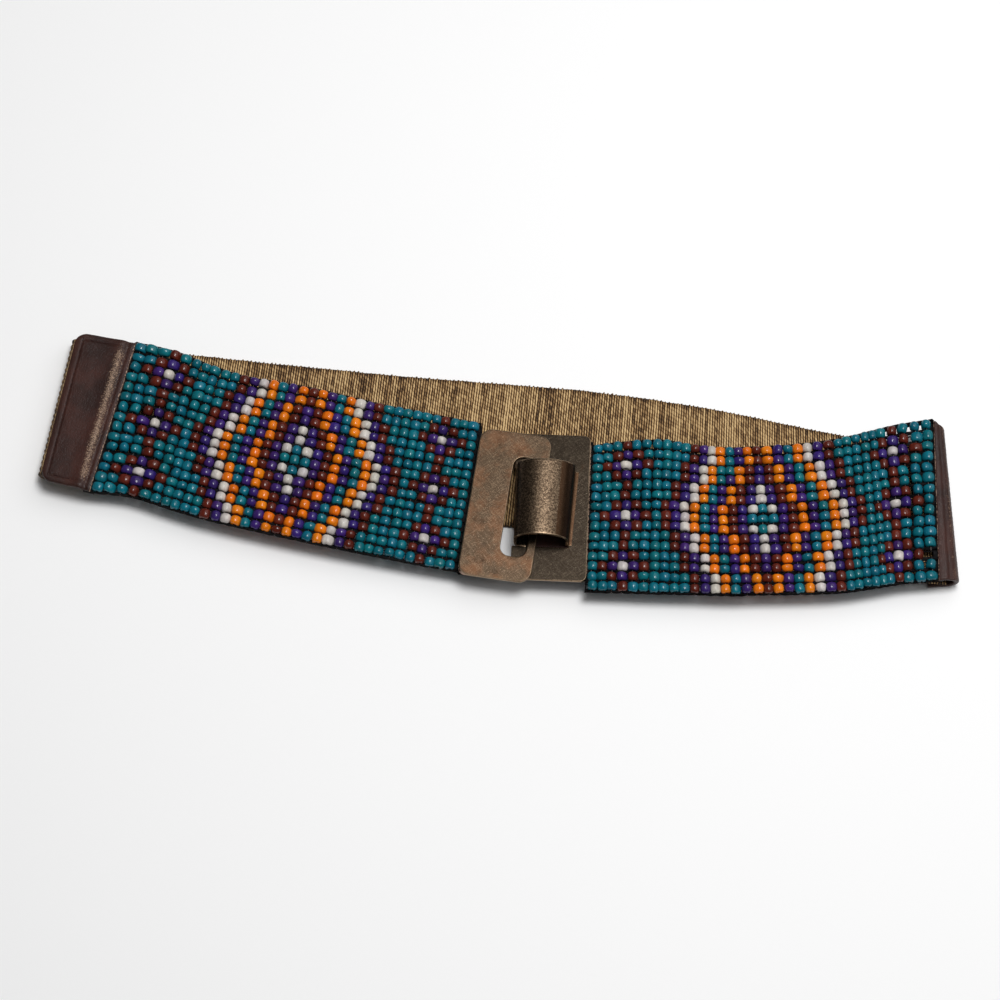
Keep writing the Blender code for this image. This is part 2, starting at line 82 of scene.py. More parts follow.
# Sizes of the belt, in metres
BELT_WIDTH = 0.0635
ELASTIC_THICKNESS = 0.0020
WAIST_GAP = 0.0054
LEFT_PANEL_LENGTH = 0.1454
RIGHT_PANEL_LENGTH = 0.1347
BEAD_HEIGHT = 0.0038
THREAD_THICKNESS = 0.0010
END_THREAD_LENGTH = 0.0075
LEATHER_THICKNESS = 0.0018
LEFT_TAB_LENGTH = 0.0223
LEFT_TAB_CORNER = 0.0045
LEFT_JOINT_LENGTH = 0.0032
RIGHT_FLAP_LENGTH = 0.0070
RIGHT_TAB_INSET = 0.0012
RAMP_LENGTH = 0.0120
PLATE_THICKNESS = 0.0012
FRAME_LENGTH = 0.0286
FRAME_WIDTH = 0.0630
FRAME_CORNER = 0.0050
SLOT_LENGTH = 0.0425
SLOT_CORNER = 0.0040
FRAME_BAR = 0.0149
FRAME_POST = 0.0033
HOOK_PLATE_LENGTH = 0.0297
HOOK_PLATE_WIDTH = 0.0623
HOOK_PLATE_CORNER = 0.0025
PLATE_OVERLAP = 0.0113
HOOK_WIDTH = 0.0320
HOOK_ROOT = 0.0068
HOOK_RISE = 0.0120
HOOK_SPLAY = 0.0018
LEFT_PAD_LENGTH = 0.0110
# The right pad reaches on under the hook's notch: a dark sheet put there to fill the shade under the hook
RIGHT_PAD_LENGTH = 0.0212
PAD_MARGIN = 0.0010
FIT = 0.0001
PANEL_TO_PLATE = 0.0004
HOOK_SIDE_GAP = 0.0007

# Sideways offset of the hook plate as a share of the belt width
HOOK_OFFSET_SHARE = 0.043

# How far the left fold's middle lies inside the tab's end, as a share of the fold's radius
LEFT_FOLD_TUCK = 0.666

# How far the right fold's middle lies past the beads, as a share of the leather thickness
RIGHT_FOLD_REACH = 0.75

# Where the hook comes down, as a share of the slot's length along the belt
HOOK_LANDING = 0.36

# Where the elastic's rise ends before the right fold, as a share of the flap's length
RAMP_END_SHARE = 1.3

# How much narrower the right flap is than the elastic, as a share of the belt width
RIGHT_FLAP_INSET = 0.005

# Turns of the two plates in plan, in degrees
FRAME_TURN = -2.3
HOOK_TURN = 3.9

# Lean of the right fold at its top, in degrees
RIGHT_FOLD_LEAN = -6.3

# Front layer, one row per station: share of the panel's length from its plate outwards, sideways offset as a
# share of the belt width, lift as a share of the waist gap, lean of the column in degrees, width as a share
LEFT_FRONT = (
    (0.000, 0.048, 0.00, 2.1, 1.012),
    (0.099, 0.065, 0.06, 2.8, 1.015),
    (0.290, 0.105, 0.16, 4.4, 1.015),
    (0.485, 0.160, 0.20, 6.0, 1.027),
    (0.681, 0.209, 0.16, 6.7, 1.005),
    (0.779, 0.258, 0.11, 6.5, 1.011),
    (0.884, 0.322, 0.05, 6.5, 1.032),
    (1.000, 0.345, 0.00, 6.6, 1.066),
)
RIGHT_FRONT = (
    (0.000, -0.009, 0.00, -3.1, 0.985),
    (0.102, 0.023, 0.08, -3.1, 1.017),
    (0.202, 0.046, 0.13, -3.6, 1.033),
    (0.302, 0.049, 0.18, -5.0, 1.000),
    (0.398, 0.058, 0.21, -7.1, 0.989),
    (0.500, 0.088, 0.24, -8.4, 0.991),
    (0.603, 0.121, 0.23, -9.0, 1.002),
    (0.707, 0.166, 0.20, -8.9, 1.020),
    (0.797, 0.226, 0.14, -7.7, 1.040),
    (0.883, 0.292, 0.08, -5.7, 1.066),
    (1.000, 0.356, 0.00, -4.7, 1.093),
)

# Both ends of the left tab: sideways offset as a share of the belt width, lean in degrees, width as a share
LEFT_TAB_INNER = (0.334, 6.6, 1.052)
LEFT_TAB_OUTER = (0.376, 3.3, 1.038)

# Elastic on the surface: share of its length from the left fold, sideways offset as a share of the belt
# width, lean of the weave in degrees, width as a share
FLOOR_RUN = (
    (0.000, 0.405, 2.6, 0.970),
    (0.115, 0.393, 1.0, 0.978),
    (0.370, 0.393, 0.0, 0.978),
    (0.500, 0.411, 0.0, 0.978),
    (0.605, 0.419, -0.6, 0.978),
    (0.740, 0.383, -2.6, 0.978),
    (0.890, 0.304, -6.0, 0.965),
    (1.000, 0.286, -10.4, 0.930),
)

# Leather along the left tab, from the beads outwards: share of the tab's length, share of the thickness
LEFT_TAB_PROFILE = (
    (0.000, 0.80),
    (0.030, 0.92),
    (0.070, 0.90),
    (0.100, 0.78),
    (0.130, 0.92),
    (0.170, 1.28),
    (0.215, 1.42),
    (0.275, 1.36),
    (0.370, 1.18),
    (0.500, 1.05),
    (0.700, 1.00),
    (1.000, 0.86),
)

# Right leather piece round its fold: angle in degrees from the top, share of the leather's thickness
RIGHT_TAB_PROFILE = (
    (0.0, 0.92),
    (10.0, 0.98),
    (22.0, 0.80),
    (34.0, 1.00),
    (48.0, 1.18),
    (70.0, 1.16),
    (110.0, 1.00),
    (180.0, 1.00),
)

# Middle of the hook's sheet: share of the way from its root to the far wall, share of the rise
HOOK_PROFILE = (
    (-0.100, 0.000),
    (-0.060, 0.005),
    (-0.018, 0.035),
    (0.000, 0.110),
    (0.000, 0.300),
    (0.000, 0.500),
    (0.035, 0.650),
    (0.150, 0.830),
    (0.320, 0.950),
    (0.500, 1.000),
    (0.680, 0.975),
    (0.850, 0.870),
    (0.955, 0.690),
    (1.000, 0.460),
    (1.000, 0.060),
    (0.960, -0.110),
    (0.870, -0.195),
    (0.750, -0.215),
)

# Bead columns, counted from the left end on the left and from the plate on the right, against the share of
# the panel's length from its plate
BEAD_COLUMNS = 35
BEAD_ROWS = 15
LEFT_COLUMNS = (
    (0.5, 1.000),
    (4.0, 0.884),
    (7.5, 0.779),
    (11.0, 0.681),
    (14.5, 0.583),
    (18.0, 0.485),
    (21.5, 0.387),
    (25.0, 0.290),
    (28.5, 0.195),
    (32.0, 0.099),
    (35.5, 0.002),
)
RIGHT_COLUMNS = (
    (0.5, -0.006),
    (4.0, 0.099),
    (7.5, 0.202),
    (11.0, 0.302),
    (14.5, 0.398),
    (18.0, 0.500),
    (21.5, 0.603),
    (25.0, 0.707),
    (28.5, 0.797),
    (32.0, 0.883),
    (35.5, 0.997),
)

# Pattern of the beads: small flowers near both ends, and nested bands round a teal and white middle
FLOWER_COLUMNS = (4, 32)
FLOWER_ROWS = (3, 8, 13)
FLOWER_GLASS = ("white", "purple", "brown")
MIDDLE_COLUMN = 18
MIDDLE_ROW = 8
ROW_STEPS = (0, 0, 1, 1, 2, 2, 3, 3)
INNER_BANDS = ("teal", "white", "purple", "brown", "orange", "purple", "teal")
OUTER_BANDS = ("orange", "white", "purple", "brown")
BAND_GLASS = INNER_BANDS + OUTER_BANDS
MISSING_BEAD = (35, 13)
SWAPPED_BEAD = (15, 3)

# Heights of the layers, from the sizes above
FRONT_BASE = ELASTIC_THICKNESS + WAIST_GAP
THREAD_TOP = FRONT_BASE + THREAD_THICKNESS
RIGHT_PAD_BOTTOM = THREAD_TOP + FIT
RIGHT_PAD_TOP = RIGHT_PAD_BOTTOM + 0.5 * LEATHER_THICKNESS
HOOK_BOTTOM = RIGHT_PAD_TOP + FIT
HOOK_TOP = HOOK_BOTTOM + PLATE_THICKNESS
FRAME_BOTTOM = HOOK_TOP + 1.5 * FIT
LEFT_PAD_BOTTOM = THREAD_TOP + FIT
LEFT_PAD_TOP = FRAME_BOTTOM - FIT
LEFT_TAB_BOTTOM = FRONT_BASE + ELASTIC_THICKNESS + FIT
RIGHT_TAB_BOTTOM = THREAD_TOP + FIT

# Places along the belt, from the sizes above
FRAME_EDGE = 0.5 * FRAME_LENGTH
LEFT_PANEL_START = FRAME_EDGE + PANEL_TO_PLATE
LEFT_PANEL_END = LEFT_PANEL_START + LEFT_PANEL_LENGTH
HOOK_EDGE = FRAME_EDGE + HOOK_PLATE_LENGTH - PLATE_OVERLAP
HOOK_ASIDE = HOOK_OFFSET_SHARE * BELT_WIDTH
RIGHT_PANEL_START = HOOK_EDGE + 3.0 * PANEL_TO_PLATE
RIGHT_PANEL_END = RIGHT_PANEL_START + RIGHT_PANEL_LENGTH
LEFT_FOLD_RADIUS = 0.5 * FRONT_BASE
LEFT_FOLD_AT = LEFT_PANEL_END + LEFT_TAB_LENGTH - LEFT_FOLD_TUCK * LEFT_FOLD_RADIUS
RIGHT_FOLD_RADIUS = 0.5 * (RIGHT_TAB_BOTTOM + LEATHER_THICKNESS) - 0.5 * LEATHER_THICKNESS
RIGHT_FOLD_AT = RIGHT_PANEL_END + RIGHT_FOLD_REACH * LEATHER_THICKNESS

UP = Vector((0.0, 0.0, 1.0))


class Half(NamedTuple):
    """One half of the front layer: its bead panel and the plate that the panel hangs on."""

    name: str
    number: int
    side: float
    start: float
    length: float
    stations: tuple
    columns: tuple
    joint: float
    joint_thickness: float
    plate_place: Vector
    plate_distance: float
    plate_turn: float
    plate_width: float


LEFT = Half(
    name="left",
    number=0,
    side=-1.0,
    start=LEFT_PANEL_START,
    length=LEFT_PANEL_LENGTH,
    stations=LEFT_FRONT,
    columns=LEFT_COLUMNS,
    joint=LEFT_JOINT_LENGTH,
    joint_thickness=ELASTIC_THICKNESS,
    plate_place=Vector((0.0, 0.0, 0.0)),
    plate_distance=0.0,
    plate_turn=FRAME_TURN,
    plate_width=FRAME_WIDTH,
)
RIGHT = Half(
    name="right",
    number=1,
    side=1.0,
    start=RIGHT_PANEL_START,
    length=RIGHT_PANEL_LENGTH,
    stations=RIGHT_FRONT,
    columns=RIGHT_COLUMNS,
    joint=RIGHT_FOLD_AT - RIGHT_PANEL_END,
    joint_thickness=THREAD_THICKNESS,
    plate_place=Vector((HOOK_EDGE, HOOK_ASIDE, 0.0)),
    plate_distance=HOOK_EDGE,
    plate_turn=HOOK_TURN,
    plate_width=HOOK_PLATE_WIDTH,
)


def buckle_middle():
    """Middle of the slotted plate in plan, in the frame."""
    low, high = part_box("buckle_frame")
    return Vector((0.5 * (low[0] + high[0]), 0.5 * (low[1] + high[1]), 0.0))


MIDDLE = buckle_middle()


def linear(red, green, blue):
    """Linear colour from three display values of 0 to 255."""
    values = []
    for value in (red, green, blue):
        share = value / 255.0
        values.append(share / 12.92 if share <= 0.04045 else ((share + 0.055) / 1.055) ** 2.4)
    return tuple(values)


def shaded(color, share):
    """Colour made lighter or darker by a share."""
    return tuple(share * part for part in color)


def color_property(name, description, red, green, blue):
    """Colour property with its default given in display values."""
    return FloatVectorProperty(
        name=name,
        description=description,
        subtype="COLOR",
        size=3,
        min=0.0,
        max=1.0,
        default=linear(red, green, blue),
    )


def length_property(name, description, default):
    """Length property in metres."""
    shown = {"unit": "LENGTH", "precision": 5}
    return FloatProperty(name=name, description=description, default=default, min=0.0, **shown)


def share_property(name, description, default):
    """Property for a share of a whole."""
    return FloatProperty(name=name, description=description, default=default, min=0.0, subtype="FACTOR")


def seed_property(description, default):
    """Whole number that starts a row of random draws."""
    return IntProperty(name="Seed", description=description, default=default, min=0)


def unit(value):
    """Value held between 0 and 1."""
    return min(max(value, 0.0), 1.0)


def bell(value, middle, width):
    """Bell curve of height 1 about a middle."""
    return math.exp(-(((value - middle) / width) ** 2))


def blend(rows, place, column):
    """Smooth value of one column of a table at a place given in the table's first column."""
    last = len(rows) - 1
    index = 0
    while index < last - 1 and place > rows[index + 1][0]:
        index += 1
    before, after = rows[index], rows[index + 1]
    span = after[0] - before[0]
    share = (place - before[0]) / span

    def slope(at):
        low, high = rows[max(at - 1, 0)], rows[min(at + 1, last)]
        return (high[column] - low[column]) / (high[0] - low[0])

    if share < 0.0:
        return before[column] + slope(index) * span * share
    if share > 1.0:
        return after[column] + slope(index + 1) * span * (share - 1.0)
    square, cube = share * share, share * share * share
    value = (2.0 * cube - 3.0 * square + 1.0) * before[column] + (3.0 * square - 2.0 * cube) * after[column]
    value += span * (cube - 2.0 * square + share) * slope(index)
    value += span * (cube - square) * slope(index + 1)
    return value


def along_and_across(lean):
    """Unit vectors along and across the belt in plan for a column that leans by some degrees."""
    angle = math.radians(lean)
    return Vector((math.cos(angle), -math.sin(angle), 0.0)), Vector((math.sin(angle), math.cos(angle), 0.0))


def front_station(half, distance):
    """Middle at the underside, lean and width of a bead panel, at a distance from the buckle."""
    share = (distance - half.start) / half.length
    held = unit(share)
    aside = blend(half.stations, share, 1) * BELT_WIDTH
    lift = blend(half.stations, held, 2) * WAIST_GAP
    lean = blend(half.stations, held, 3)
    width = blend(half.stations, held, 4) * BELT_WIDTH
    return Vector((half.side * distance, aside, FRONT_BASE + lift)), lean, width


def column_distance(half, column):
    """Distance of a bead column from the buckle."""
    return half.start + half.length * blend(half.columns, column, 1)


def under_plate(half, distance):
    """Place in plan on the middle line of a plate, at a distance from the buckle."""
    along, _ = along_and_across(-half.plate_turn)
    return half.plate_place + along * (half.side * (distance - half.plate_distance))


def tab_station(distance):
    """Middle point at the panel's height, lean and width of the left tab, at a distance from the buckle."""
    share = (distance - LEFT_PANEL_END) / LEFT_TAB_LENGTH
    ends = zip(LEFT_TAB_INNER, LEFT_TAB_OUTER)
    aside, lean, width = (inner + (outer - inner) * share for inner, outer in ends)
    return Vector((-distance, aside * BELT_WIDTH, FRONT_BASE)), lean, width * BELT_WIDTH


def joint_station(half, distance):
    """Middle at the underside, lean and width of the layer past the beads, at a distance from the buckle."""
    if half is LEFT:
        return tab_station(distance)
    middle, _, width = front_station(half, distance)
    return middle, RIGHT_FOLD_LEAN, width


def flat_section(width, low, high, steps, rounding, edge_steps=6):
    """Outline of a flat strip with round edges: side and height of each point, from the near underside."""
    half = 0.5 * width - rounding
    middle, tall = 0.5 * (low + high), 0.5 * (high - low)
    points = []
    for sign, level in ((1.0, low), (-1.0, high)):
        points += [(sign * half * (2.0 * step / steps - 1.0), level) for step in range(steps + 1)]
        for step in range(1, edge_steps):
            angle = math.pi * (step / edge_steps - 0.5 * sign)
            points.append((sign * half + rounding * math.cos(angle), middle + tall * math.sin(angle)))
    return points


def running_lengths(points, closed):
    """Length along a chain of points at each of them, with the closing length last if it is closed."""
    chain = list(points) + ([points[0]] if closed else [])
    lengths = [0.0]
    for first, second in zip(chain, chain[1:]):
        lengths.append(lengths[-1] + (Vector(second) - Vector(first)).length)
    return lengths


def skin(name, rings, marks=None, looped=False):
    """Mesh through rings of equal count, with a UV map in metres and a number a point for each mark."""
    count, rows = len(rings[0]), len(rings)
    points = [point for ring in rings for point in ring]
    around = running_lengths(rings[rows // 2], True)
    along = running_lengths([ring[0].lerp(ring[count // 2], 0.5) for ring in rings], looped)
    faces, places = [], []
    for row in range(rows if looped else rows - 1):
        following_row = (row + 1) % rows
        for index in range(count):
            following = (index + 1) % count
            faces.append((
                row * count + index,
                row * count + following,
                following_row * count + following,
                following_row * count + index,
            ))
            places += [along[row], around[index], along[row], around[index + 1]]
            places += [along[row + 1], around[index + 1], along[row + 1], around[index]]
    if not looped:
        for row in (0, rows - 1):
            faces.append(tuple(row * count + index for index in range(count)))
            for index in range(count):
                places += [along[row], around[index]]
    mesh = bpy.data.meshes.new(name)
    mesh.from_pydata(points, [], faces)
    mesh.uv_layers.new(name="surface").data.foreach_set("uv", places)
    for kind, values in (marks or {}).items():
        flat = [value for row in values for value in row]
        mesh.attributes.new(kind, "FLOAT", "POINT").data.foreach_set("value", flat)
    return mesh


def tidy_mesh(mesh, sharp_angle):
    """Turns a mesh's faces outwards and shades it smooth up to edges sharper than an angle in degrees."""
    edited = bmesh.new()
    edited.from_mesh(mesh)
    bmesh.ops.recalc_face_normals(edited, faces=edited.faces)
    edited.to_mesh(mesh)
    edited.free()
    mesh.shade_smooth()
    mesh.set_sharp_from_angle(angle=math.radians(sharp_angle))


def join_meshes(name, meshes):
    """One mesh from several that have the same kinds of marks."""
    edited = bmesh.new()
    for mesh in meshes:
        edited.from_mesh(mesh)
        bpy.data.meshes.remove(mesh)
    joined = bpy.data.meshes.new(name)
    edited.to_mesh(joined)
    edited.free()
    return joined


def add_piece(name, mesh, material, nodes=(), sharp_angle=35.0):
    """Object from a mesh built about the buckle's middle, riding on the belt in place of some CAD nodes."""
    if sharp_angle:
        tidy_mesh(mesh, sharp_angle)
    for vertex in mesh.vertices:
        vertex.co += MIDDLE
    mesh.materials.clear()
    mesh.materials.append(material)
    piece = bpy.data.objects.new(name, mesh)
    bpy.context.scene.collection.objects.link(piece)
    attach(piece, ROOT)
    if nodes:
        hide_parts(*nodes)


class Wire:
    """One output of a node. Sums, differences, products and quotients of wires add Math nodes."""

    def __init__(self, board, socket):
        self.board = board
        self.socket = socket

    def __add__(self, other):
        return self.board.math("ADD", self, other)

    __radd__ = __add__

    def __sub__(self, other):
        return self.board.math("SUBTRACT", self, other)

    def __rsub__(self, other):
        return self.board.math("SUBTRACT", other, self)

    def __mul__(self, other):
        return self.board.math("MULTIPLY", self, other)

    __rmul__ = __mul__

    def __truediv__(self, other):
        return self.board.math("DIVIDE", self, other)

    def __pow__(self, other):
        return self.board.math("POWER", self, other)


class Board:
    """A node tree that is wired by name."""

    def __init__(self, tree):
        self.tree = tree

    def node(self, kind, settings=None, inputs=None, output=0):
        """Adds a node with its settings and then the values or wires of its inputs, and gives one output."""
        added = self.tree.nodes.new(kind)
        for name, value in (settings or {}).items():
            if name == "stops":
                self.set_stops(added.color_ramp, value)
            else:
                setattr(added, name, value)
        for name, value in (inputs or {}).items():
            if isinstance(value, Wire):
                self.tree.links.new(value.socket, added.inputs[name])
            else:
                added.inputs[name].default_value = value
        return Wire(self, added.outputs[output])

    @staticmethod
    def set_stops(ramp, stops):
        """Gives a colour ramp its stops, as places and colours."""
        while len(ramp.elements) > 1:
            ramp.elements.remove(ramp.elements[-1])
        ramp.elements[0].position = stops[0][0]
        ramp.elements[0].color = (*stops[0][1], 1.0)
        for place, color in stops[1:]:
            ramp.elements.new(place).color = (*color, 1.0)

    def math(self, operation, first, second=0.0):
        """Math node on numbers or wires."""
        return self.node("ShaderNodeMath", {"operation": operation}, {0: first, 1: second})

    def vector_math(self, operation, first, second):
        """Vector Math node on vectors or wires."""
        return self.node("ShaderNodeVectorMath", {"operation": operation}, {0: first, 1: second})

    def vector(self, *parts):
        """Vector from numbers or wires."""
        return self.node("ShaderNodeCombineXYZ", None, dict(enumerate(parts)))


class Finish(Board):
    """Material with one Principled shader, whose varying inputs are wired and whose constants are set."""

    def __init__(self, name, constants):
        self.material = bpy.data.materials.new(name)
        self.material.use_nodes = True
        super().__init__(self.material.node_tree)
        self.shader = self.tree.nodes["Principled BSDF"]
        for socket, value in constants.items():
            self.shader.inputs[socket].default_value = value

    def wire(self, socket, value):
        """Feeds one input of the shader."""
        self.tree.links.new(value.socket, self.shader.inputs[socket])

    def mix(self, factor, first, second, kind="MIX"):
        """Mix node on two colours, each a wire or three numbers."""
        settings = {"data_type": "RGBA", "blend_type": kind}
        colors = [color if isinstance(color, Wire) else (*color, 1.0) for color in (first, second)]
        return self.node("ShaderNodeMix", settings, {0: factor, 6: colors[0], 7: colors[1]}, 2)

    def position(self, turn=0.0, stretch=(1.0, 1.0, 1.0)):
        """Object coordinates whose patterns are turned by some degrees in plan and then stretched."""
        place = self.node("ShaderNodeTexCoord", output="Object")
        inputs = {"Vector": place, "Rotation": (0.0, 0.0, math.radians(turn)), "Scale": stretch}
        return self.node("ShaderNodeMapping", {"vector_type": "TEXTURE"}, inputs)

    def surface_place(self):
        """Places along and across the piece in metres, from its UV map."""
        place = self.node("ShaderNodeUVMap", {"uv_map": "surface"})
        return tuple(self.node("ShaderNodeSeparateXYZ", None, {0: place}, axis) for axis in (0, 1))

    def noise(self, place, scale, detail=2.0, roughness=0.5):
        """Noise from 0 to 1 with its middle at 0.5."""
        inputs = {"Vector": place, "Scale": scale, "Detail": detail, "Roughness": roughness}
        return self.node("ShaderNodeTexNoise", None, inputs)

    def chance(self, value, dimensions="1D"):
        """Random number from 0 to 1 for a whole number, or for a vector of them."""
        inputs = {"W" if dimensions == "1D" else "Vector": value}
        return self.node("ShaderNodeTexWhiteNoise", {"noise_dimensions": dimensions}, inputs, "Value")

    def ramp(self, factor, *stops):
        """Colour ramp through stops of a place and a colour."""
        return self.node("ShaderNodeValToRGB", {"stops": stops}, {"Fac": factor})

    def between(self, value, low, high):
        """Smooth step from 0 at a low value to 1 at a high one."""
        inputs = {"Value": value, "From Min": low, "From Max": high}
        return self.node("ShaderNodeMapRange", {"interpolation_type": "SMOOTHSTEP"}, inputs)

    def attribute(self, name, output):
        """Attribute of the mesh: its Color or Fac output."""
        return self.node("ShaderNodeAttribute", {"attribute_name": name}, None, output)

    def bump(self, height, distance, strength=1.0):
        """Feeds the shader's normal with a bump of a height of up to some metres."""
        inputs = {"Height": height, "Distance": distance, "Strength": strength}
        self.wire("Normal", self.node("ShaderNodeBump", None, inputs))


class Recipe(Board):
    """Geometry Nodes tree with named inputs, used once and then made a plain mesh."""

    def __init__(self, name, sockets):
        tree = bpy.data.node_groups.new(name, "GeometryNodeTree")
        tree.is_modifier = True
        super().__init__(tree)
        tree.interface.new_socket("Geometry", in_out="INPUT", socket_type="NodeSocketGeometry")
        tree.interface.new_socket("Geometry", in_out="OUTPUT", socket_type="NodeSocketGeometry")
        self.identifiers = {}
        for socket, kind in sockets.items():
            made = tree.interface.new_socket(socket, in_out="INPUT", socket_type="NodeSocket" + kind)
            self.identifiers[socket] = made.identifier
        self.start = tree.nodes.new("NodeGroupInput")

    def given(self, name):
        """One of the tree's inputs."""
        return Wire(self, self.start.outputs[name])

    def finish(self, geometry):
        """Ends the tree: instances become a mesh with the given material."""
        real = self.node("GeometryNodeRealizeInstances", None, {"Geometry": geometry})
        inputs = {"Geometry": real, "Material": self.given("Material")}
        painted = self.node("GeometryNodeSetMaterial", None, inputs)
        end = self.tree.nodes.new("NodeGroupOutput")
        self.tree.links.new(painted.socket, end.inputs[0])

    def tube(self, curve):
        """Round tube with closed ends along a curve, of the given radius and number of sides."""
        inputs = {"Resolution": self.given("Sides"), "Radius": self.given("Radius")}
        profile = self.node("GeometryNodeCurvePrimitiveCircle", None, inputs)
        inputs = {"Curve": curve, "Profile Curve": profile, "Fill Caps": True}
        return self.node("GeometryNodeCurveToMesh", None, inputs)

    def named(self, name):
        """Vector attribute of the starting mesh's points."""
        return self.node("GeometryNodeInputNamedAttribute", {"data_type": "FLOAT_VECTOR"}, {"Name": name})

    def scatter(self, size, limits, inputs):
        """Ends the tree with an instance on every point, turned as its attribute says and a little astray."""
        low = self.vector(*(limit * -1.0 for limit in limits))
        ends = {0: low, 1: self.vector(*limits), "Seed": self.given("Seed")}
        stray = self.node("FunctionNodeRandomValue", {"data_type": "FLOAT_VECTOR"}, ends)
        turn = self.vector_math("ADD", self.named("turn"), stray)
        inputs = {"Points": self.given("Geometry"), "Rotation": turn, "Scale": size, **inputs}
        self.finish(self.node("GeometryNodeInstanceOnPoints", None, inputs))

    def cook(self, mesh, values):
        """Plain mesh that the tree makes from a starting mesh and the values of its inputs."""
        holder = bpy.data.objects.new(mesh.name, mesh)
        bpy.context.scene.collection.objects.link(holder)
        modifier = holder.modifiers.new(self.tree.name, "NODES")
        modifier.node_group = self.tree
        for name, value in values.items():
            modifier[self.identifiers[name]] = value
        graph = bpy.context.evaluated_depsgraph_get()
        result = bpy.data.meshes.new_from_object(holder.evaluated_get(graph))
        holder.modifiers.clear()
        bpy.data.objects.remove(holder)
        bpy.data.meshes.remove(mesh)
        return result


def point_mesh(name, points, vectors=None, colors=None, numbers=None, edges=()):
    """Mesh of loose points, with vectors, colours and numbers kept as attributes on them."""
    mesh = bpy.data.meshes.new(name)
    mesh.from_pydata(points, list(edges), [])
    for kind, values in (vectors or {}).items():
        flat = [part for value in values for part in value]
        mesh.attributes.new(kind, "FLOAT_VECTOR", "POINT").data.foreach_set("vector", flat)
    for kind, values in (colors or {}).items():
        flat = [part for value in values for part in (*value, 1.0)]
        mesh.attributes.new(kind, "FLOAT_COLOR", "POINT").data.foreach_set("color", flat)
    for kind, values in (numbers or {}).items():
        mesh.attributes.new(kind, "FLOAT", "POINT").data.foreach_set("value", values)
    return mesh


def strand_recipe():
    """Tree that turns chains of edges into round threads with a slight waver."""
    sockets = {"Radius": "Float", "Waver": "Float", "Sides": "Int", "Seed": "Int", "Material": "Material"}
    recipe = Recipe("threads", sockets)
    curve = recipe.node("GeometryNodeMeshToCurve", None, {0: recipe.given("Geometry")})
    place = recipe.node("GeometryNodeInputPosition")
    inputs = {"Vector": place, "W": recipe.given("Seed"), "Scale": 420.0, "Detail": 1.0}
    waver = recipe.node("ShaderNodeTexNoise", {"noise_dimensions": "4D"}, inputs, 1)
    waver = recipe.vector_math("SUBTRACT", waver, (0.5, 0.5, 0.5))
    scale = recipe.node("ShaderNodeVectorMath", {"operation": "SCALE"}, {0: waver, 3: recipe.given("Waver")})
    moved = recipe.node("GeometryNodeSetPosition", None, {"Geometry": curve, "Offset": scale})
    recipe.finish(recipe.tube(moved))
    return recipe


def stitch_recipe():
    """Tree that sets one arched stitch on every point, turned as the point's own attribute says."""
    sockets = dict.fromkeys(("Length", "Rise", "Radius", "Spread"), "Float")
    sockets.update({"Sides": "Int", "Seed": "Int", "Material": "Material"})
    recipe = Recipe("stitches", sockets)
    reach = recipe.given("Length") * 0.5
    inputs = {
        "Resolution": 4,
        "Start": recipe.vector(0.0, reach * -1.0, 0.0),
        "Middle": recipe.vector(0.0, 0.0, recipe.given("Rise") * 2.0),
        "End": recipe.vector(0.0, reach, 0.0),
    }
    stitch = recipe.tube(recipe.node("GeometryNodeCurveQuadraticBezier", None, inputs))
    inputs = {2: 0.85, 3: 1.15, "Seed": recipe.given("Seed")}
    size = recipe.node("FunctionNodeRandomValue", {"data_type": "FLOAT"}, inputs, 1)
    recipe.scatter(size, (recipe.given("Spread"),) * 3, {"Instance": stitch})
    return recipe


def bead_recipe():
    """Tree that sets a bead of one of several shapes on every point, with its own size and slight tilt."""
    sockets = {"Shapes": "Collection", "Shape Count": "Int", "Tilt": "Float", "Seed": "Int"}
    recipe = Recipe("beads", {**sockets, "Material": "Material"})
    inputs = {"Collection": recipe.given("Shapes"), "Separate Children": True, "Reset Children": True}
    shapes = recipe.node("GeometryNodeCollectionInfo", {"transform_space": "ORIGINAL"}, inputs)
    inputs = {4: 0, 5: recipe.given("Shape Count") - 1.0, "Seed": recipe.given("Seed")}
    pick = recipe.node("FunctionNodeRandomValue", {"data_type": "INT"}, inputs, 2)
    tilt = recipe.given("Tilt")
    picked = {"Instance": shapes, "Pick Instance": True, "Instance Index": pick}
    recipe.scatter(recipe.named("size"), (tilt, math.pi, tilt), picked)
    return recipe


def sew(name, places_and_turns, shape, seed, material):
    """Adds stitches as one piece, from their length, rise, thread radius, stray turn and number of sides."""
    places, turns = places_and_turns
    values = dict(zip(("Length", "Rise", "Radius", "Spread", "Sides"), shape))
    values.update({"Seed": seed, "Material": material})
    mesh = stitch_recipe().cook(point_mesh(name, places, {"turn": turns}), values)
    add_piece(name, mesh, material, sharp_angle=60.0)


class BeadSettings(bpy.types.PropertyGroup):
    """Glass beads of the two loomed panels."""

    diameter: share_property("Diameter", "Diameter as a share of the distance between columns", 1.16)
    length: share_property("Length", "Length along the hole as a share of the distance between rows", 0.92)
    spread: share_property("Size spread", "How far sizes depart from the mean, as a share", 0.15)
    tilt: FloatProperty(name="Tilt", description="Largest stray turn", default=0.13, subtype="ANGLE")
    hole: share_property("Hole", "Radius of the hole as a share of the bead's diameter", 0.15)
    seed: seed_property("Start of the random sizes, turns and shades", 7)
    teal: color_property("Teal glass", "Ground colour of the panels", 0, 103, 117)
    brown: color_property("Brown glass", "Red-brown beads", 91, 33, 21)
    purple: color_property("Purple glass", "Blue-violet beads", 54, 34, 104)
    white: color_property("White glass", "Chalk-white beads", 200, 195, 188)
    orange: color_property("Orange glass", "Orange beads", 225, 118, 14)


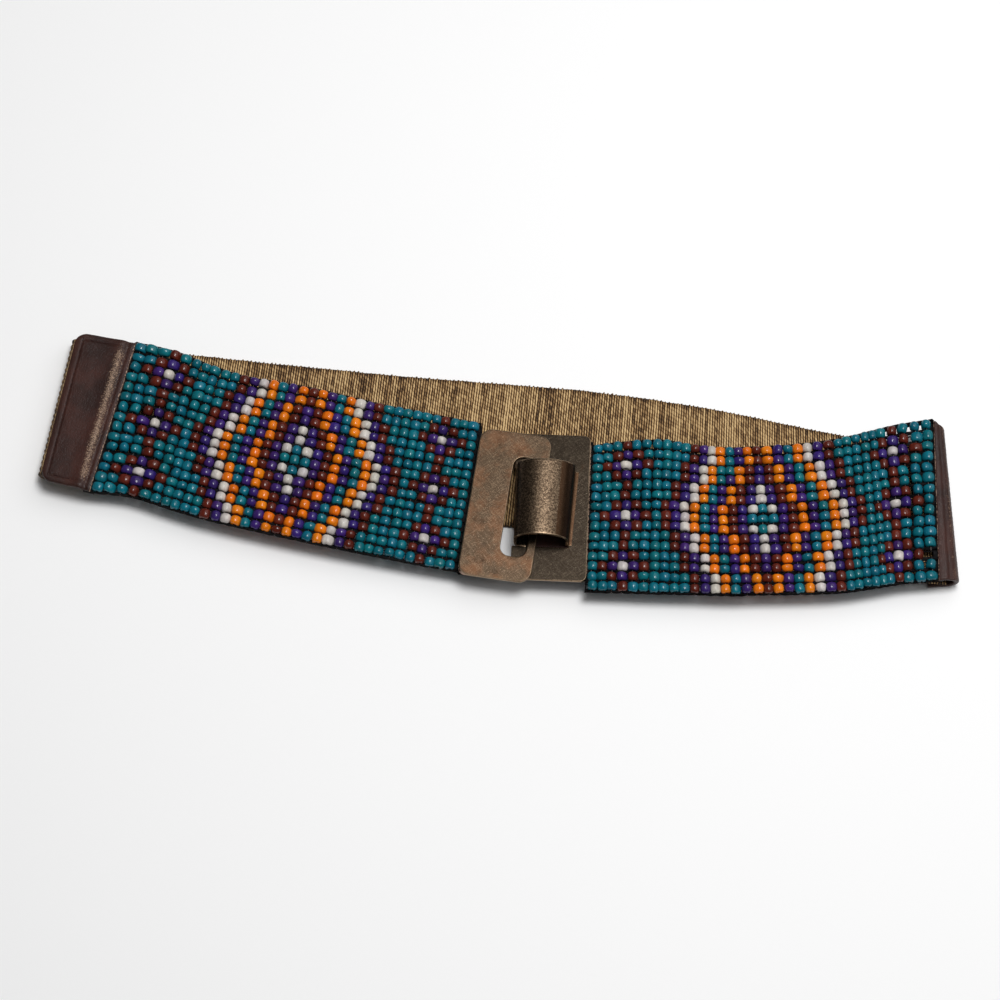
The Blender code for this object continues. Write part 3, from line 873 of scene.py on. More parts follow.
# Bead shapes: power of the outline's curve, taper from end to end, slant of the ends
BEAD_SHAPES = (
    (2.3, 0.00, 0.00),
    (2.8, 0.03, 0.03),
    (3.3, 0.00, 0.00),
    (2.9, 0.00, 0.09),
    (2.6, 0.13, 0.04),
)
BEAD_SEGMENTS = 10
BEAD_BANDS = 8

# Packing of the beads: overlap of columns in metres, and the gap between rows and the clear margin at both
# edges as shares of the distance between rows
COLUMN_OVERLAP = 0.00070
ROW_GAP = 0.03
ROW_MARGIN = 0.46

# Stray places of the beads: waver of a row and stray of a bead as shares of the distance between rows,
# stray of a column as a share of the distance between columns, and stray height in metres
ROW_WAVER = 0.10
ROW_STRAY = 0.02
COLUMN_STRAY = 0.05
HEIGHT_STRAY = 0.00012

# Tallest bead as a share of the bead height, and how much shorter each further shape is than the one before
TALLEST = 1.06
SHAPE_SHORTER = 0.04

# Most common size of a bead, as a share of the size spread, and how much less lengths depart than diameters
COMMON_SIZE = 0.1
LENGTH_SPREAD_SHARE = 0.8

# Lightness of one bead against its batch, for most glasses and for those of an even batch
LIGHTNESS = (0.82, 1.12)
EVEN_LIGHTNESS = {"orange": (0.92, 1.06), "white": (0.94, 1.02)}

# Spread of single colour parts within a batch: part, lowest and highest share
PART_SPREAD = {
    "orange": ((1, 0.84, 1.14),),
    "purple": ((0, 0.80, 1.25), (2, 0.82, 1.10)),
    "white": ((1, 0.97, 1.00), (2, 0.92, 1.02)),
}

# Roughness of chalk-white glass and of the other glasses
CHALK_ROUGHNESS = (0.30, 0.42)
GLASS_ROUGHNESS = (0.10, 0.19)


def glass_of(half, column, row):
    """Name of the glass of one bead, counted from the left end and from the far edge."""
    if half is RIGHT and (column, row) == SWAPPED_BEAD:
        return "teal"
    for middle_column in FLOWER_COLUMNS:
        for middle_row in FLOWER_ROWS:
            steps = abs(column - middle_column) + abs(row - middle_row)
            if steps < len(FLOWER_GLASS):
                return FLOWER_GLASS[steps]
    band = abs(column - MIDDLE_COLUMN) + ROW_STEPS[abs(row - MIDDLE_ROW)]
    if band >= len(BAND_GLASS) or (row == MIDDLE_ROW and band < 2):
        return "teal"
    return BAND_GLASS[band]


def bead_place(half, column, row):
    """Middle of a bead at its underside, its lean, and the distance between rows there."""
    middle, lean, width = front_station(half, column_distance(half, column))
    _, across = along_and_across(lean)
    pitch = width / BEAD_ROWS
    return middle + across * (pitch * (0.5 * (BEAD_ROWS + 1) - row)), lean, pitch


def settle(places, sizes, gap, low, high, rounds=12):
    """Places along a line, pushed apart where pieces of these sizes would come closer than a gap."""
    places = list(places)
    for _ in range(rounds):
        for index in range(len(places) - 1):
            least = 0.5 * (sizes[index] + sizes[index + 1]) + gap
            short = least - (places[index + 1] - places[index])
            if short > 0.0:
                places[index] -= 0.5 * short
                places[index + 1] += 0.5 * short
        places[0] = max(places[0], low + 0.5 * sizes[0])
        places[-1] = min(places[-1], high - 0.5 * sizes[-1])
    return places


def packed_places(settings, chance, spacing):
    """Shift along the belt, row place, diameter and length of every bead, packed as threads pull them."""
    columns, rows = range(1, BEAD_COLUMNS + 1), range(1, BEAD_ROWS + 1)
    diameters, lengths, shifts, steps = {}, {}, {}, {}
    for column in columns:
        for row in rows:
            spread = chance.triangular(-1.0, 1.0, COMMON_SIZE) * settings.spread
            diameters[column, row] = spacing[column] * settings.diameter * (1.0 + spread)
            spread = chance.triangular(-1.0, 1.0, COMMON_SIZE) * settings.spread
            lengths[column, row] = settings.length * (1.0 + LENGTH_SPREAD_SHARE * spread)
    nominal, run = [], 0.0
    for column in columns:
        nominal.append(run + 0.5 * spacing[column])
        run += spacing[column]
    for row in rows:
        sizes = [diameters[column, row] for column in columns]
        settled = settle(nominal, sizes, -COLUMN_OVERLAP, 0.0, run)
        for column, place, was in zip(columns, settled, nominal):
            shifts[column, row] = (place - was) / spacing[column]
    for column in columns:
        sizes = [lengths[column, row] for row in rows]
        waver = [ROW_WAVER * noise.noise(Vector((0.24 * column, 1.7 * row, 9.0))) for row in rows]
        wanted = [row + shift + chance.uniform(-ROW_STRAY, ROW_STRAY) for row, shift in zip(rows, waver)]
        settled = settle(wanted, sizes, ROW_GAP, ROW_MARGIN, BEAD_ROWS + 1.0 - ROW_MARGIN)
        for row, place in zip(rows, settled):
            steps[column, row] = place
    return shifts, steps, diameters, lengths


def bead_points(half, settings):
    """Places, turns, sizes, colours and gloss of all beads of a panel."""
    chance = random.Random(settings.seed + 100 * half.number)
    columns, rows = range(1, BEAD_COLUMNS + 1), range(1, BEAD_ROWS + 1)
    ends = [blend(half.columns, 0.5 + step, 1) for step in range(BEAD_COLUMNS + 1)]
    spacing = {column: half.length * abs(ends[column] - ends[column - 1]) for column in columns}
    shifts, steps, diameters, lengths = packed_places(settings, chance, spacing)
    drift = [chance.uniform(-1.0, 1.0) for _ in columns]
    points, turns, scales, colors, gloss = [], [], [], [], []
    for column in columns:
        for row in rows:
            if half is RIGHT and (column, row) == MISSING_BEAD:
                continue
            place = column + shifts[column, row] + COLUMN_STRAY * drift[column - 1]
            middle, lean, pitch = bead_place(half, place, steps[column, row])
            height = 0.5 * BEAD_HEIGHT + chance.uniform(-HEIGHT_STRAY, HEIGHT_STRAY)
            points.append(middle + UP * height)
            turns.append((0.0, 0.0, -math.radians(lean)))
            across = diameters[column, row]
            scales.append((across, pitch * lengths[column, row], min(across, TALLEST * BEAD_HEIGHT)))
            color, roughness = shade_of(glass_of(half, column, row), settings, chance)
            colors.append(color)
            gloss.append(roughness)
    return point_mesh("beads", points, {"turn": turns, "size": scales}, {"glass": colors}, {"gloss": gloss})


def shade_of(name, settings, chance):
    """Colour and roughness of one bead of a named glass, with the spread that glass of one batch shows."""
    color = Vector(getattr(settings, name))
    light = chance.uniform(*LIGHTNESS)
    if name == "teal":
        lean = chance.uniform(-1.0, 1.0)
        color = Vector((color.x + 0.004, color.y * (1.0 - 0.05 * lean), color.z * (1.0 + 0.08 * lean)))
    for part, low, high in PART_SPREAD.get(name, ()):
        color[part] *= chance.uniform(low, high)
    if name in EVEN_LIGHTNESS:
        light = chance.uniform(*EVEN_LIGHTNESS[name])
    roughness = chance.uniform(*(CHALK_ROUGHNESS if name == "white" else GLASS_ROUGHNESS))
    return color * light, roughness


def bead_shapes(settings):
    """Collection of bead shapes of unit size, with the hole along Y, each one a closed shell."""
    shapes = bpy.data.collections.new("bead shapes")
    for number, (power, taper, slant) in enumerate(BEAD_SHAPES):
        rings = []
        for band in range(BEAD_BANDS + 1):
            angle = math.pi * band / BEAD_BANDS
            side = math.copysign(abs(math.cos(angle)) ** (2.0 / power), -math.cos(angle)) * 0.5
            radius = settings.hole + (0.5 - settings.hole) * abs(math.sin(angle)) ** (2.0 / power)
            radius *= 1.0 + taper * side * 2.0
            ring = []
            for segment in range(BEAD_SEGMENTS):
                turn = 2.0 * math.pi * segment / BEAD_SEGMENTS
                x, z = radius * math.cos(turn), radius * math.sin(turn)
                ring.append(Vector((x, side * (1.0 - SHAPE_SHORTER * number) + slant * x * 2.0 * side, z)))
            rings.append(ring)
        mesh = skin("bead_%d" % number, rings, looped=True)
        mesh.uv_layers.remove(mesh.uv_layers[0])
        tidy_mesh(mesh, 180.0)
        shapes.objects.link(bpy.data.objects.new("bead_%d" % number, mesh))
    return shapes


def glass_finish():
    """Glossy opaque glass with faint streaks, coloured by each bead's own attribute."""
    finish = Finish("glass_beads", {"IOR": 1.52, "Specular IOR Level": 0.30})
    glass = finish.attribute("glass", "Color")
    place = finish.position(0.0, (1.0, 2.8, 1.0))
    streak = finish.noise(place, 900.0, 3.0, 0.6)
    cloud = finish.noise(finish.position(), 260.0, 2.0)
    dark = finish.mix(1.0, glass, (0.52, 0.50, 0.56), "MULTIPLY")
    color = finish.mix(finish.between(streak * 0.6 + cloud * 0.4, 0.38, 0.62), dark, glass)
    color = finish.mix(0.55, glass, color)
    finish.wire("Base Color", color)
    finish.wire("Roughness", finish.attribute("gloss", "Fac") + (streak - 0.5) * 0.12)
    finish.bump(cloud * 0.7 + streak * 0.3, 0.00005, 0.5)
    return finish.material


class BELT_OT_beads(bpy.types.Operator):
    """Builds the two loomed panels of glass beads"""

    bl_idname = "belt.beads"
    bl_label = "Glass beads"

    def execute(self, context):
        settings = context.scene.belt_beads
        shapes = bead_shapes(settings)
        recipe = bead_recipe()
        material = glass_finish()
        for half in (LEFT, RIGHT):
            values = {
                "Shapes": shapes,
                "Shape Count": len(BEAD_SHAPES),
                "Tilt": settings.tilt,
                "Seed": settings.seed + half.number,
                "Material": material,
            }
            mesh = recipe.cook(bead_points(half, settings), values)
            nodes = ["bead_panel_" + half.name]
            add_piece("beads_" + half.name, mesh, material, nodes, sharp_angle=None)
        for shape in list(shapes.objects):
            bpy.data.objects.remove(shape)
        bpy.data.collections.remove(shapes)
        return {"FINISHED"}


# How far the outermost warp threads lie inside the panel's edges, in metres
WARP_INSET = 0.00022

# How far the bound thread ends reach under the first beads, in metres
TAPE_TUCK = 0.0016

# Bound thread ends, in metres: height above the layer below, rounding of the edges, how much narrower they
# are than the layer and than the beads, and the height of their ripple
TAPE_BOTTOM = 0.0001
TAPE_ROUNDING = 0.0003
TAPE_INSET = 0.0002
TAPE_BEAD_INSET = 0.0008
TAPE_RIPPLE = 0.00006
TAPE_STEPS = 8
TAPE_STEPS_ACROSS = 40

# How far the threads reach into a joint and how much of its height they fill, as shares
JOINT_FILL = 0.9

# How far a warp thread weaves up and down, and how high it lies as a share of the beads' height
WARP_WEAVE = 0.00018
WARP_LEVEL = 0.46

# How far the warps are drawn together under the leather, and where they meet the plate, in metres
WARP_GATHER = 0.002
WARP_AT_PLATE = 0.0008

# Stitches of the weft: length and rise in metres, stray turn in radians, stray place as a share of the
# distance between columns, and height above the middle of the beads in metres
WEFT_LENGTH = 0.0017
WEFT_RISE = 0.00040
WEFT_STRAY = 0.16
WEFT_COLUMN_STRAY = 0.06
WEFT_HEIGHT = 0.00008

# Weft stitches at both edges: how steeply they hang in degrees, how high they lie as a share of the beads'
# height, and how far in they lie in metres
WEFT_EDGE_TURN = 24.0
WEFT_EDGE_LEVEL = 0.40
WEFT_EDGE_INSET = 0.00045

# Warp threads of one gap between bead rows: offset across the belt and drop below the middle, in metres. The
# two
# outer strands lie lower: dark threads put there to fill the view through the gaps, where there is shade.
WARP_BUNDLE = (
    (-0.00098, 0.0010),
    (-0.00036, 0.0001),
    (0.0, 0.0),
    (0.00036, 0.0001),
    (0.00098, 0.0010),
)

# Warp threads along both edges of a panel: offset outwards and drop below the middle, in metres. The two
# innermost
# strands lie lower: dark threads put there to fill the view through the gaps, where there is shade.
EDGE_BUNDLE = (
    (0.00024, 0.0005),
    (0.0, 0.0),
    (-0.00040, 0.0002),
    (-0.00078, 0.0006),
    (-0.00118, 0.0010),
)


class ThreadSettings(bpy.types.PropertyGroup):
    """Threads that hold the beads."""

    radius: length_property("Warp radius", "Radius of the threads along the belt", 0.00030)
    weft_radius: length_property("Weft radius", "Radius of the threads through the beads", 0.00011)
    seed: seed_property("Start of the threads' random waver", 3)
    warp: color_property("Warp", "Dark threads along the belt", 7, 5, 7)
    weft: color_property("Weft", "Smooth grey threads through the beads", 104, 95, 92)


def thread_finish(name, color, roughness, gloss=0.06):
    """Twisted thread with a soft sheen."""
    finish = Finish(name, {"Specular IOR Level": gloss})
    grain = finish.noise(finish.position(35.0, (3.0, 1.0, 1.0)), 1500.0, 2.0)
    cloud = finish.noise(finish.position(), 90.0, 2.0)
    bright = tuple(min(1.0, 1.5 * part + 0.006) for part in color)
    light = finish.between(grain * 0.6 + cloud * 0.4, 0.38, 0.62)
    finish.wire("Base Color", finish.mix(light, shaded(color, 0.55), bright))
    finish.wire("Roughness", grain * 0.25 + (roughness - 0.12))
    finish.bump(grain, 0.00008)
    return finish.material


def warp_chain(half, gap, side, drop):
    """Points of one warp thread between two bead rows, from under the plate to under the leather."""
    _, across = along_and_across(-half.plate_turn)
    plate_width = half.plate_width - 2.0 * PAD_MARGIN - 2.0 * THREAD_THICKNESS
    share = (gap - 0.5 * BEAD_ROWS) / BEAD_ROWS
    lift = UP * (0.5 * THREAD_THICKNESS)
    points = []
    for inner in (END_THREAD_LENGTH, 0.5 * END_THREAD_LENGTH, WARP_AT_PLATE):
        middle = under_plate(half, half.start - inner) + UP * FRONT_BASE + lift
        points.append(middle + across * (share * plate_width + side))
    columns = [0.5 + 0.5 * step for step in range(2 * BEAD_COLUMNS + 1)]
    if half is LEFT:
        columns.reverse()
    for column in columns:
        middle, lean, width = front_station(half, column_distance(half, column))
        _, across = along_and_across(lean)
        weave = WARP_WEAVE * math.cos(math.pi * (2.0 * column + gap))
        inside = (width - 2.0 * WARP_INSET) * share
        points.append(middle + UP * (WARP_LEVEL * BEAD_HEIGHT + weave - drop) + across * (inside + side))
    middle, lean, width = joint_station(half, half.start + half.length + JOINT_FILL * half.joint)
    _, across = along_and_across(lean)
    points.append(middle + lift + across * ((width - WARP_GATHER) * share + side))
    return points


def tape_station(half, outer, run, share):
    """Middle, lean and width of a bound thread end, at a distance from the panel's inner or outer end."""
    if outer and half is LEFT:
        return tab_station(LEFT_PANEL_END + run)
    if outer:
        middle, lean, width = front_station(half, RIGHT_PANEL_END + run)
        return middle, lean + (RIGHT_FOLD_LEAN - lean) * share, width
    if run < 0.0:
        middle, lean, width = front_station(half, half.start - run)
        return middle, lean, width - TAPE_BEAD_INSET
    middle = under_plate(half, half.start - run) + UP * FRONT_BASE
    return middle, -half.plate_turn, half.plate_width - 2.0 * PAD_MARGIN


def end_tape(half, outer):
    """Thin bound tape that gathers the thread ends, under the plate or under the leather."""
    reach = half.joint if outer else END_THREAD_LENGTH
    top = JOINT_FILL * (half.joint_thickness if outer else THREAD_THICKNESS)
    ends = (TAPE_BOTTOM, top, TAPE_STEPS_ACROSS, TAPE_ROUNDING, 4)
    rings = []
    for step in range(TAPE_STEPS + 1):
        share = step / TAPE_STEPS
        run = (reach + TAPE_TUCK) * share - TAPE_TUCK
        middle, lean, width = tape_station(half, outer, run, share)
        _, across = along_and_across(lean)
        ripple = TAPE_RIPPLE * math.cos(step * 2.1)
        ring = []
        for side, height in flat_section(width - TAPE_INSET, *ends):
            ring.append(middle + across * side + UP * (height + ripple * math.cos(4200.0 * side)))
        rings.append(ring)
    return skin("tape", rings)


class BELT_OT_threads(bpy.types.Operator):
    """Builds the dark warp threads, the light weft stitches between the beads and the bound thread ends"""

    bl_idname = "belt.threads"
    bl_label = "Threads"

    def execute(self, context):
        settings = context.scene.belt_threads
        dark = thread_finish("warp_thread", settings.warp, 0.6)
        light = thread_finish("weft_thread", settings.weft, 0.30, 0.5)
        strands = strand_recipe()
        values = {
            "Radius": settings.radius,
            "Waver": 0.00035,
            "Sides": 5,
            "Seed": settings.seed,
            "Material": dark,
        }
        shape = (WEFT_LENGTH, WEFT_RISE, settings.weft_radius, WEFT_STRAY, 5)
        for half in (LEFT, RIGHT):
            warps = strands.cook(self.warp_points(half), values)
            tapes = [end_tape(half, outer) for outer in (False, True)]
            mesh = join_meshes("warps", [warps] + tapes)
            add_piece("warps_" + half.name, mesh, dark)
            places = self.weft_points(half, settings)
            sew("wefts_" + half.name, places, shape, settings.seed + 1, light)
        return {"FINISHED"}

    @staticmethod
    def warp_points(half):
        """Chains of points of all warp threads of a panel."""
        points, edges = [], []
        for gap in range(BEAD_ROWS + 1):
            at_edge = gap in (0, BEAD_ROWS)
            outward = -1.0 if gap == 0 else 1.0
            for side, drop in EDGE_BUNDLE if at_edge else WARP_BUNDLE:
                chain = warp_chain(half, gap, side * outward, drop)
                first = len(points)
                points += chain
                edges += [(first + step, first + step + 1) for step in range(len(chain) - 1)]
        return point_mesh("warps", points, edges=edges)

    @staticmethod
    def weft_points(half, settings):
        """Places and turns of the weft where it crosses the warps, on top and at both edges."""
        chance = random.Random(settings.seed + 50 * half.number)
        places, turns = [], []
        for column in range(1, BEAD_COLUMNS + 1):
            for gap in range(BEAD_ROWS + 1):
                row = BEAD_ROWS + 0.5 - gap
                stray = chance.uniform(-WEFT_COLUMN_STRAY, WEFT_COLUMN_STRAY)
                middle, lean, _ = bead_place(half, column + stray, row)
                height = 0.5 * BEAD_HEIGHT + WEFT_HEIGHT
                edge = 0.0
                if gap in (0, BEAD_ROWS):
                    height = WEFT_EDGE_LEVEL * BEAD_HEIGHT
                    outward = 1.0 if gap else -1.0
                    edge = math.radians(WEFT_EDGE_TURN) * outward
                    _, across = along_and_across(lean)
                    middle -= across * (WEFT_EDGE_INSET * outward)
                places.append(middle + UP * height)
                turns.append((-edge, 0.0, -math.radians(lean)))
        return places, turns


class ElasticSettings(bpy.types.PropertyGroup):
    """Woven stretch webbing."""

    rib: length_property("Rib spacing", "Distance between the ribs across the webbing", 0.00100)
    stitch: length_property("Stitch length", "Length of one float of the weave along a rib", 0.0017)
    light: color_property("Light yarn", "Brightest yarn of the weave", 212, 180, 130)
    middle: color_property("Middle yarn", "Common yarn of the weave", 146, 112, 72)
    dark: color_property("Dark yarn", "Gaps and shaded yarn", 54, 35, 17)


def webbing_finish(settings):
    """Ribbed weave: offset floats on every rib, with brighter and darker ribs in irregular runs, and painted
    shade in the low gaps between ribs and floats.
    """
    sheen = {"Sheen Weight": 0.05, "Sheen Roughness": 0.5, "Specular IOR Level": 0.25}
    finish = Finish("woven_elastic", sheen)
    along, across = finish.surface_place()
    wobble = finish.noise(finish.position(), 220.0, 1.0) - 0.5
    column = along / settings.rib + wobble * 0.25
    number = finish.math("FLOOR", column)
    rib = column - number
    odd = finish.math("MODULO", finish.math("ABSOLUTE", number), 2.0)
    random_rib = finish.chance(number)
    zone = finish.math("FLOOR", number / 17.0)
    twill = finish.math("GREATER_THAN", finish.chance(zone + 0.5), 0.55)
    shift = odd * 0.5 * (1.0 - twill) + number * 0.25 * twill
    place = across / settings.stitch + shift + random_rib * 0.16 + wobble * 0.3 + rib * 0.6
    cell = finish.math("FLOOR", place)
    float_share = place - cell
    random_float = finish.chance(finish.vector(number, cell), "2D")
    ridge = finish.math("SINE", rib * math.pi)
    swell = finish.math("SINE", float_share * math.pi) ** 0.35
    run = finish.noise(finish.vector(along * 90.0, across * 8.0), 1.0, 2.0, 0.6)
    height = ridge * (0.50 + 0.50 * swell)
    fuzz = finish.noise(finish.position(), 2600.0, 2.0, 0.6)
    # Tone follows the ribs' height: painted shade in the low gaps between ribs and floats, lighter on their
    # crests; the rest is random yarn tone.
    tone = height * (0.58 + 0.38 * random_rib) + (random_float - 0.5) * 0.34
    tone = tone + (run - 0.5) * 0.6 + (fuzz - 0.5) * 0.30 - finish.attribute("edge", "Fac") * 0.28
    stops = (
        (0.06, shaded(settings.dark, 0.55)),
        (0.26, settings.dark),
        (0.52, settings.middle),
        (0.86, settings.light),
    )
    finish.wire("Base Color", finish.ramp(tone, *stops))
    finish.wire("Roughness", 0.92 - height * 0.18)
    finish.bump(height * 0.9 + fuzz * 0.12, 0.00034, 0.9)
    return finish.material


# Edges of the webbing, in metres: rounding, how far its width wavers, the teeth round the fold, how far in
# from the edge the weave darkens and how much narrower the sheet is than its looped edges
WEBBING_ROUNDING = 0.0007
WEBBING_WAVER = 0.0005
TOOTH_SPACING = 0.0026
TOOTH_HEIGHT = 0.00042
EDGE_SHADE_REACH = 0.0024
WEBBING_INSET = 0.0002

# Loops along both edges: length, rise and yarn radius in metres, stray turn in radians and number of sides
LOOP_SHAPE = (0.0016, 0.00035, 0.00030, 0.25, 5)
LOOP_SEED = 4
LOOP_INSET = 0.0003

# Steps of the webbing along its upper end, round the fold and along the floor, and across it
UPPER_STEPS = 14
FOLD_STEPS = 28
FLOOR_STEPS = 150
WEBBING_STEPS = 92


def webbing_ring(middle, across, up, width, serration):
    """One section of the webbing and its edge marks, with teeth across it where it is folded."""
    half = 0.5 * ELASTIC_THICKNESS
    width += WEBBING_WAVER * noise.noise(Vector((middle.x * 260.0, middle.z * 400.0, 0.0)))
    ring, marks = [], []
    for side, height in flat_section(width - WEBBING_INSET, -half, half, WEBBING_STEPS, WEBBING_ROUNDING):
        bump = 0.0
        if serration > 0.0:
            stray = 0.6 * noise.noise(Vector((side * 300.0, 0.0, 3.0)))
            tooth = abs(math.sin(math.pi * side / TOOTH_SPACING + stray))
            bump = serration * TOOTH_HEIGHT * (tooth**1.5 - 0.45)
        ring.append(middle + across * side + up * (height + bump * height / half))
        marks.append(unit(1.0 - (0.5 * width - abs(side)) / EDGE_SHADE_REACH))
    return ring, marks


def elastic_rings():
    """Sections of the webbing from under the left tab to the right end, and their edge marks."""
    half = 0.5 * ELASTIC_THICKNESS
    upper_end = LEFT_PANEL_END + LEFT_JOINT_LENGTH + FIT
    end_width = FLOOR_RUN[0][3] * BELT_WIDTH
    rings = []
    for step in range(UPPER_STEPS):
        middle, lean, _ = tab_station(upper_end + (LEFT_FOLD_AT - upper_end) * step / UPPER_STEPS)
        _, across = along_and_across(lean)
        rings.append(webbing_ring(middle + UP * half, across, UP, end_width, 0.0))
    top, top_lean, _ = tab_station(LEFT_FOLD_AT)
    radius = 0.5 * top.z
    floor_lean, floor_aside = FLOOR_RUN[0][2], FLOOR_RUN[0][1] * BELT_WIDTH
    for step in range(FOLD_STEPS + 1):
        share = step / FOLD_STEPS
        angle = math.pi * share
        along, across = along_and_across(top_lean + (floor_lean - top_lean) * share)
        outward = along * (-math.sin(angle)) + UP * math.cos(angle)
        centre = Vector((-LEFT_FOLD_AT, top.y + (floor_aside - top.y) * share, half + radius))
        rings.append(webbing_ring(centre + outward * radius, across, outward, end_width, math.sin(angle)))
    ramp_end = RIGHT_FOLD_AT - RAMP_END_SHARE * RIGHT_FLAP_LENGTH
    for step in range(1, FLOOR_STEPS + 1):
        middle, lean, width = floor_station(step / FLOOR_STEPS)
        _, across = along_and_across(lean)
        risen = unit((middle.x - ramp_end) / RAMP_LENGTH + 1.0)
        lift = (LEATHER_THICKNESS + FIT) * risen * risen * (3.0 - 2.0 * risen)
        rings.append(webbing_ring(middle + UP * (lift + half), across, -UP, width, 0.0))
    return zip(*rings)


def floor_station(share):
    """Middle on the floor, lean and width of the elastic at a share of its length from the left fold."""
    place = -LEFT_FOLD_AT + (LEFT_FOLD_AT + RIGHT_FOLD_AT) * share
    middle = Vector((place, blend(FLOOR_RUN, share, 1) * BELT_WIDTH, 0.0))
    return middle, blend(FLOOR_RUN, share, 2), blend(FLOOR_RUN, share, 3) * BELT_WIDTH


class BELT_OT_elastic(bpy.types.Operator):
    """Builds the woven elastic with its fold and its looped edges"""

    bl_idname = "belt.elastic"
    bl_label = "Woven elastic"

    def execute(self, context):
        settings = context.scene.belt_elastic
        rings, marks = elastic_rings()
        mesh = skin("webbing", rings, {"edge": marks})
        add_piece("webbing", mesh, webbing_finish(settings), ["elastic_back"])
        loops = thread_finish("selvedge_yarn", shaded(settings.middle, 0.5), 0.85)
        sew("selvedge_loops", self.loop_points(settings), LOOP_SHAPE, LOOP_SEED, loops)
        return {"FINISHED"}

    @staticmethod
    def loop_points(settings):
        """Places and turns of the small yarn loops along both edges of the webbing."""
        full = LEFT_FOLD_AT + RIGHT_FOLD_AT
        count = int((full - RIGHT_FLAP_LENGTH - RAMP_LENGTH) / settings.stitch)
        places, turns = [], []
        for step in range(1, count):
            middle, lean, width = floor_station(step * settings.stitch / full)
            middle += UP * (0.55 * ELASTIC_THICKNESS)
            _, across = along_and_across(lean)
            for sign in (-1.0, 1.0):
                places.append(middle + across * (sign * (0.5 * width - LOOP_INSET)))
                turns.append((math.radians(-90.0 * sign), 0.0, math.radians(90.0 * sign - lean)))
        return places, turns


class LeatherSettings(bpy.types.PropertyGroup):
    """Leather tab, leather fold and pads."""

    color: color_property("Leather", "Dark brown finish", 54, 31, 26)
    raw: color_property("Raw edge", "Pale cut edge of the leather", 188, 156, 136)
    rubbed_and_lit: color_property("Rubbed leather", "Grainy worn ridges of the leather", 168, 140, 116)
    seam: length_property("Seam inset", "Distance of the pressed line from the edges of the tab", 0.0029)
    stitch: length_property("Stitch spacing", "Distance between stitches of the seam", 0.0026)


def leather_finish(settings):
    """Smooth dark leather with fine grain, rubbed ridges that also carry a painted highlight, and pale cut
    edges.
    """
    finish = Finish("dark_leather", {"Specular IOR Level": 0.26})
    place = finish.position()
    inputs = {"Vector": place, "Scale": 1150.0, "Randomness": 1.0}
    grain = finish.node("ShaderNodeTexVoronoi", {"feature": "DISTANCE_TO_EDGE"}, inputs)
    pore = finish.between(grain, 0.0, 0.16)
    cloud = finish.noise(place, 70.0, 3.0, 0.6)
    fine = finish.noise(place, 900.0, 3.0, 0.6)
    dark = shaded(settings.color, 0.62)
    warm = (settings.color[0] * 1.35, settings.color[1] * 1.15, settings.color[2] * 1.05)
    color = finish.mix(finish.between(cloud, 0.34, 0.66), dark, warm)
    color = finish.mix(pore * 0.35 + 0.65, shaded(dark, 0.5), color)
    # Lighter leather where rubbed: worn leather, and on the tab's ridge and the fold's crest also a painted
    # highlight.
    rubbed_and_lit = finish.attribute("rub", "Fac")
    patch = finish.noise(place, 330.0, 3.0, 0.65)
    crumb = finish.noise(place, 1900.0, 3.0, 0.75)
    scuff_and_highlight = finish.between(crumb * 2.6 + patch * 0.5 + rubbed_and_lit, 2.10, 2.72)
    color = finish.mix(scuff_and_highlight * 0.85, color, settings.rubbed_and_lit)
    cut = finish.attribute("cut", "Fac")
    raw = finish.between(cut + (fine - 0.5) * 2.4, 0.80, 1.10)
    color = finish.mix(raw, color, settings.raw)
    finish.wire("Base Color", color)
    finish.wire("Roughness", 0.42 + (cloud - 0.5) * 0.22 + scuff_and_highlight * 0.10 + raw * 0.25)
    finish.bump(pore * 0.6 + fine * 0.4, 0.00012, 0.7)
    return finish.material


# Relief of the left tab, in metres: width and depth of the pressed line, drop and reach of the rim, height
# and width of the swelling between line and rim, how far the surface sways, and rounding of the edges
SEAM_WIDTH = 0.00032
SEAM_DEPTH = 0.00028
RIM_DROP = 0.00035
RIM_REACH = 0.0008
PUFF_HEIGHT = 0.00010
PUFF_WIDTH = 0.0009
TAB_SWAY = 0.00008
TAB_ROUNDING = 0.0006

# Worn places along the left tab as shares of its length: where the pressed line starts, and middle and width
# of the rubbed ridge, whose lighter colour is also a painted highlight, and of the groove beside the beads
SEAM_START = 0.17
RIDGE = (0.195, 0.105)
GROOVE = (0.085, 0.02)

# How worn the ridge, the groove, the pressed line and the rim are, how far from the tab's ends the ridge is
# full and how far in the rim is worn, in metres, and the share of the tab's length that shows the cut edge.
# The ridge's lighter colour is partly wear and partly a painted highlight.
RIDGE_WEAR_AND_HIGHLIGHT = 0.85
GROOVE_WEAR = 0.35
LINE_WEAR = 0.42
RIM_WEAR = 0.25
RIDGE_FADE = 0.006
RIM_WEAR_REACH = 0.0004
CUT_SHARE = 0.006

# Relief of the right fold, in metres, and its rubbed crest, lighter partly from wear and partly as a painted
# highlight, as middle and width in degrees from the top
FOLD_TEETH = 0.00010
FOLD_TOOTH_SPACING = 0.0021
FOLD_SWAY = 0.00012
CREST = (48.0, 22.0)
CREST_WEAR_AND_HIGHLIGHT = 0.50
FOLD_ROUNDING = 0.0004

# Places on the right leather piece in degrees from the fold's top: its cut face, the last place that shows
# the cut, the corner above it, and the flap
CUT_FACE = -4.0
CUT_END = -3.0
CUT_CORNER = -2.0
FLAP_PLACE = 200.0

# Flap under the webbing: share of its length, share of the leather's thickness
FLAP_PROFILE = ((0.35, 1.0), (0.7, 1.0), (0.96, 1.0), (1.0, 0.9))

# Stitches of the seam: share of their spacing that is thread, then rise and thread radius in metres, stray
# turn in radians and number of sides
SEAM_FLOAT = 0.72
SEAM_SHAPE = (0.00010, 0.00018, 0.05, 6)
SEAM_SEED = 11

# Steps along and across the two leather pieces
TAB_STEPS = 60
TAB_STEPS_ACROSS = 110
RIGHT_FOLD_STEPS = 40
RIGHT_STEPS_ACROSS = 90


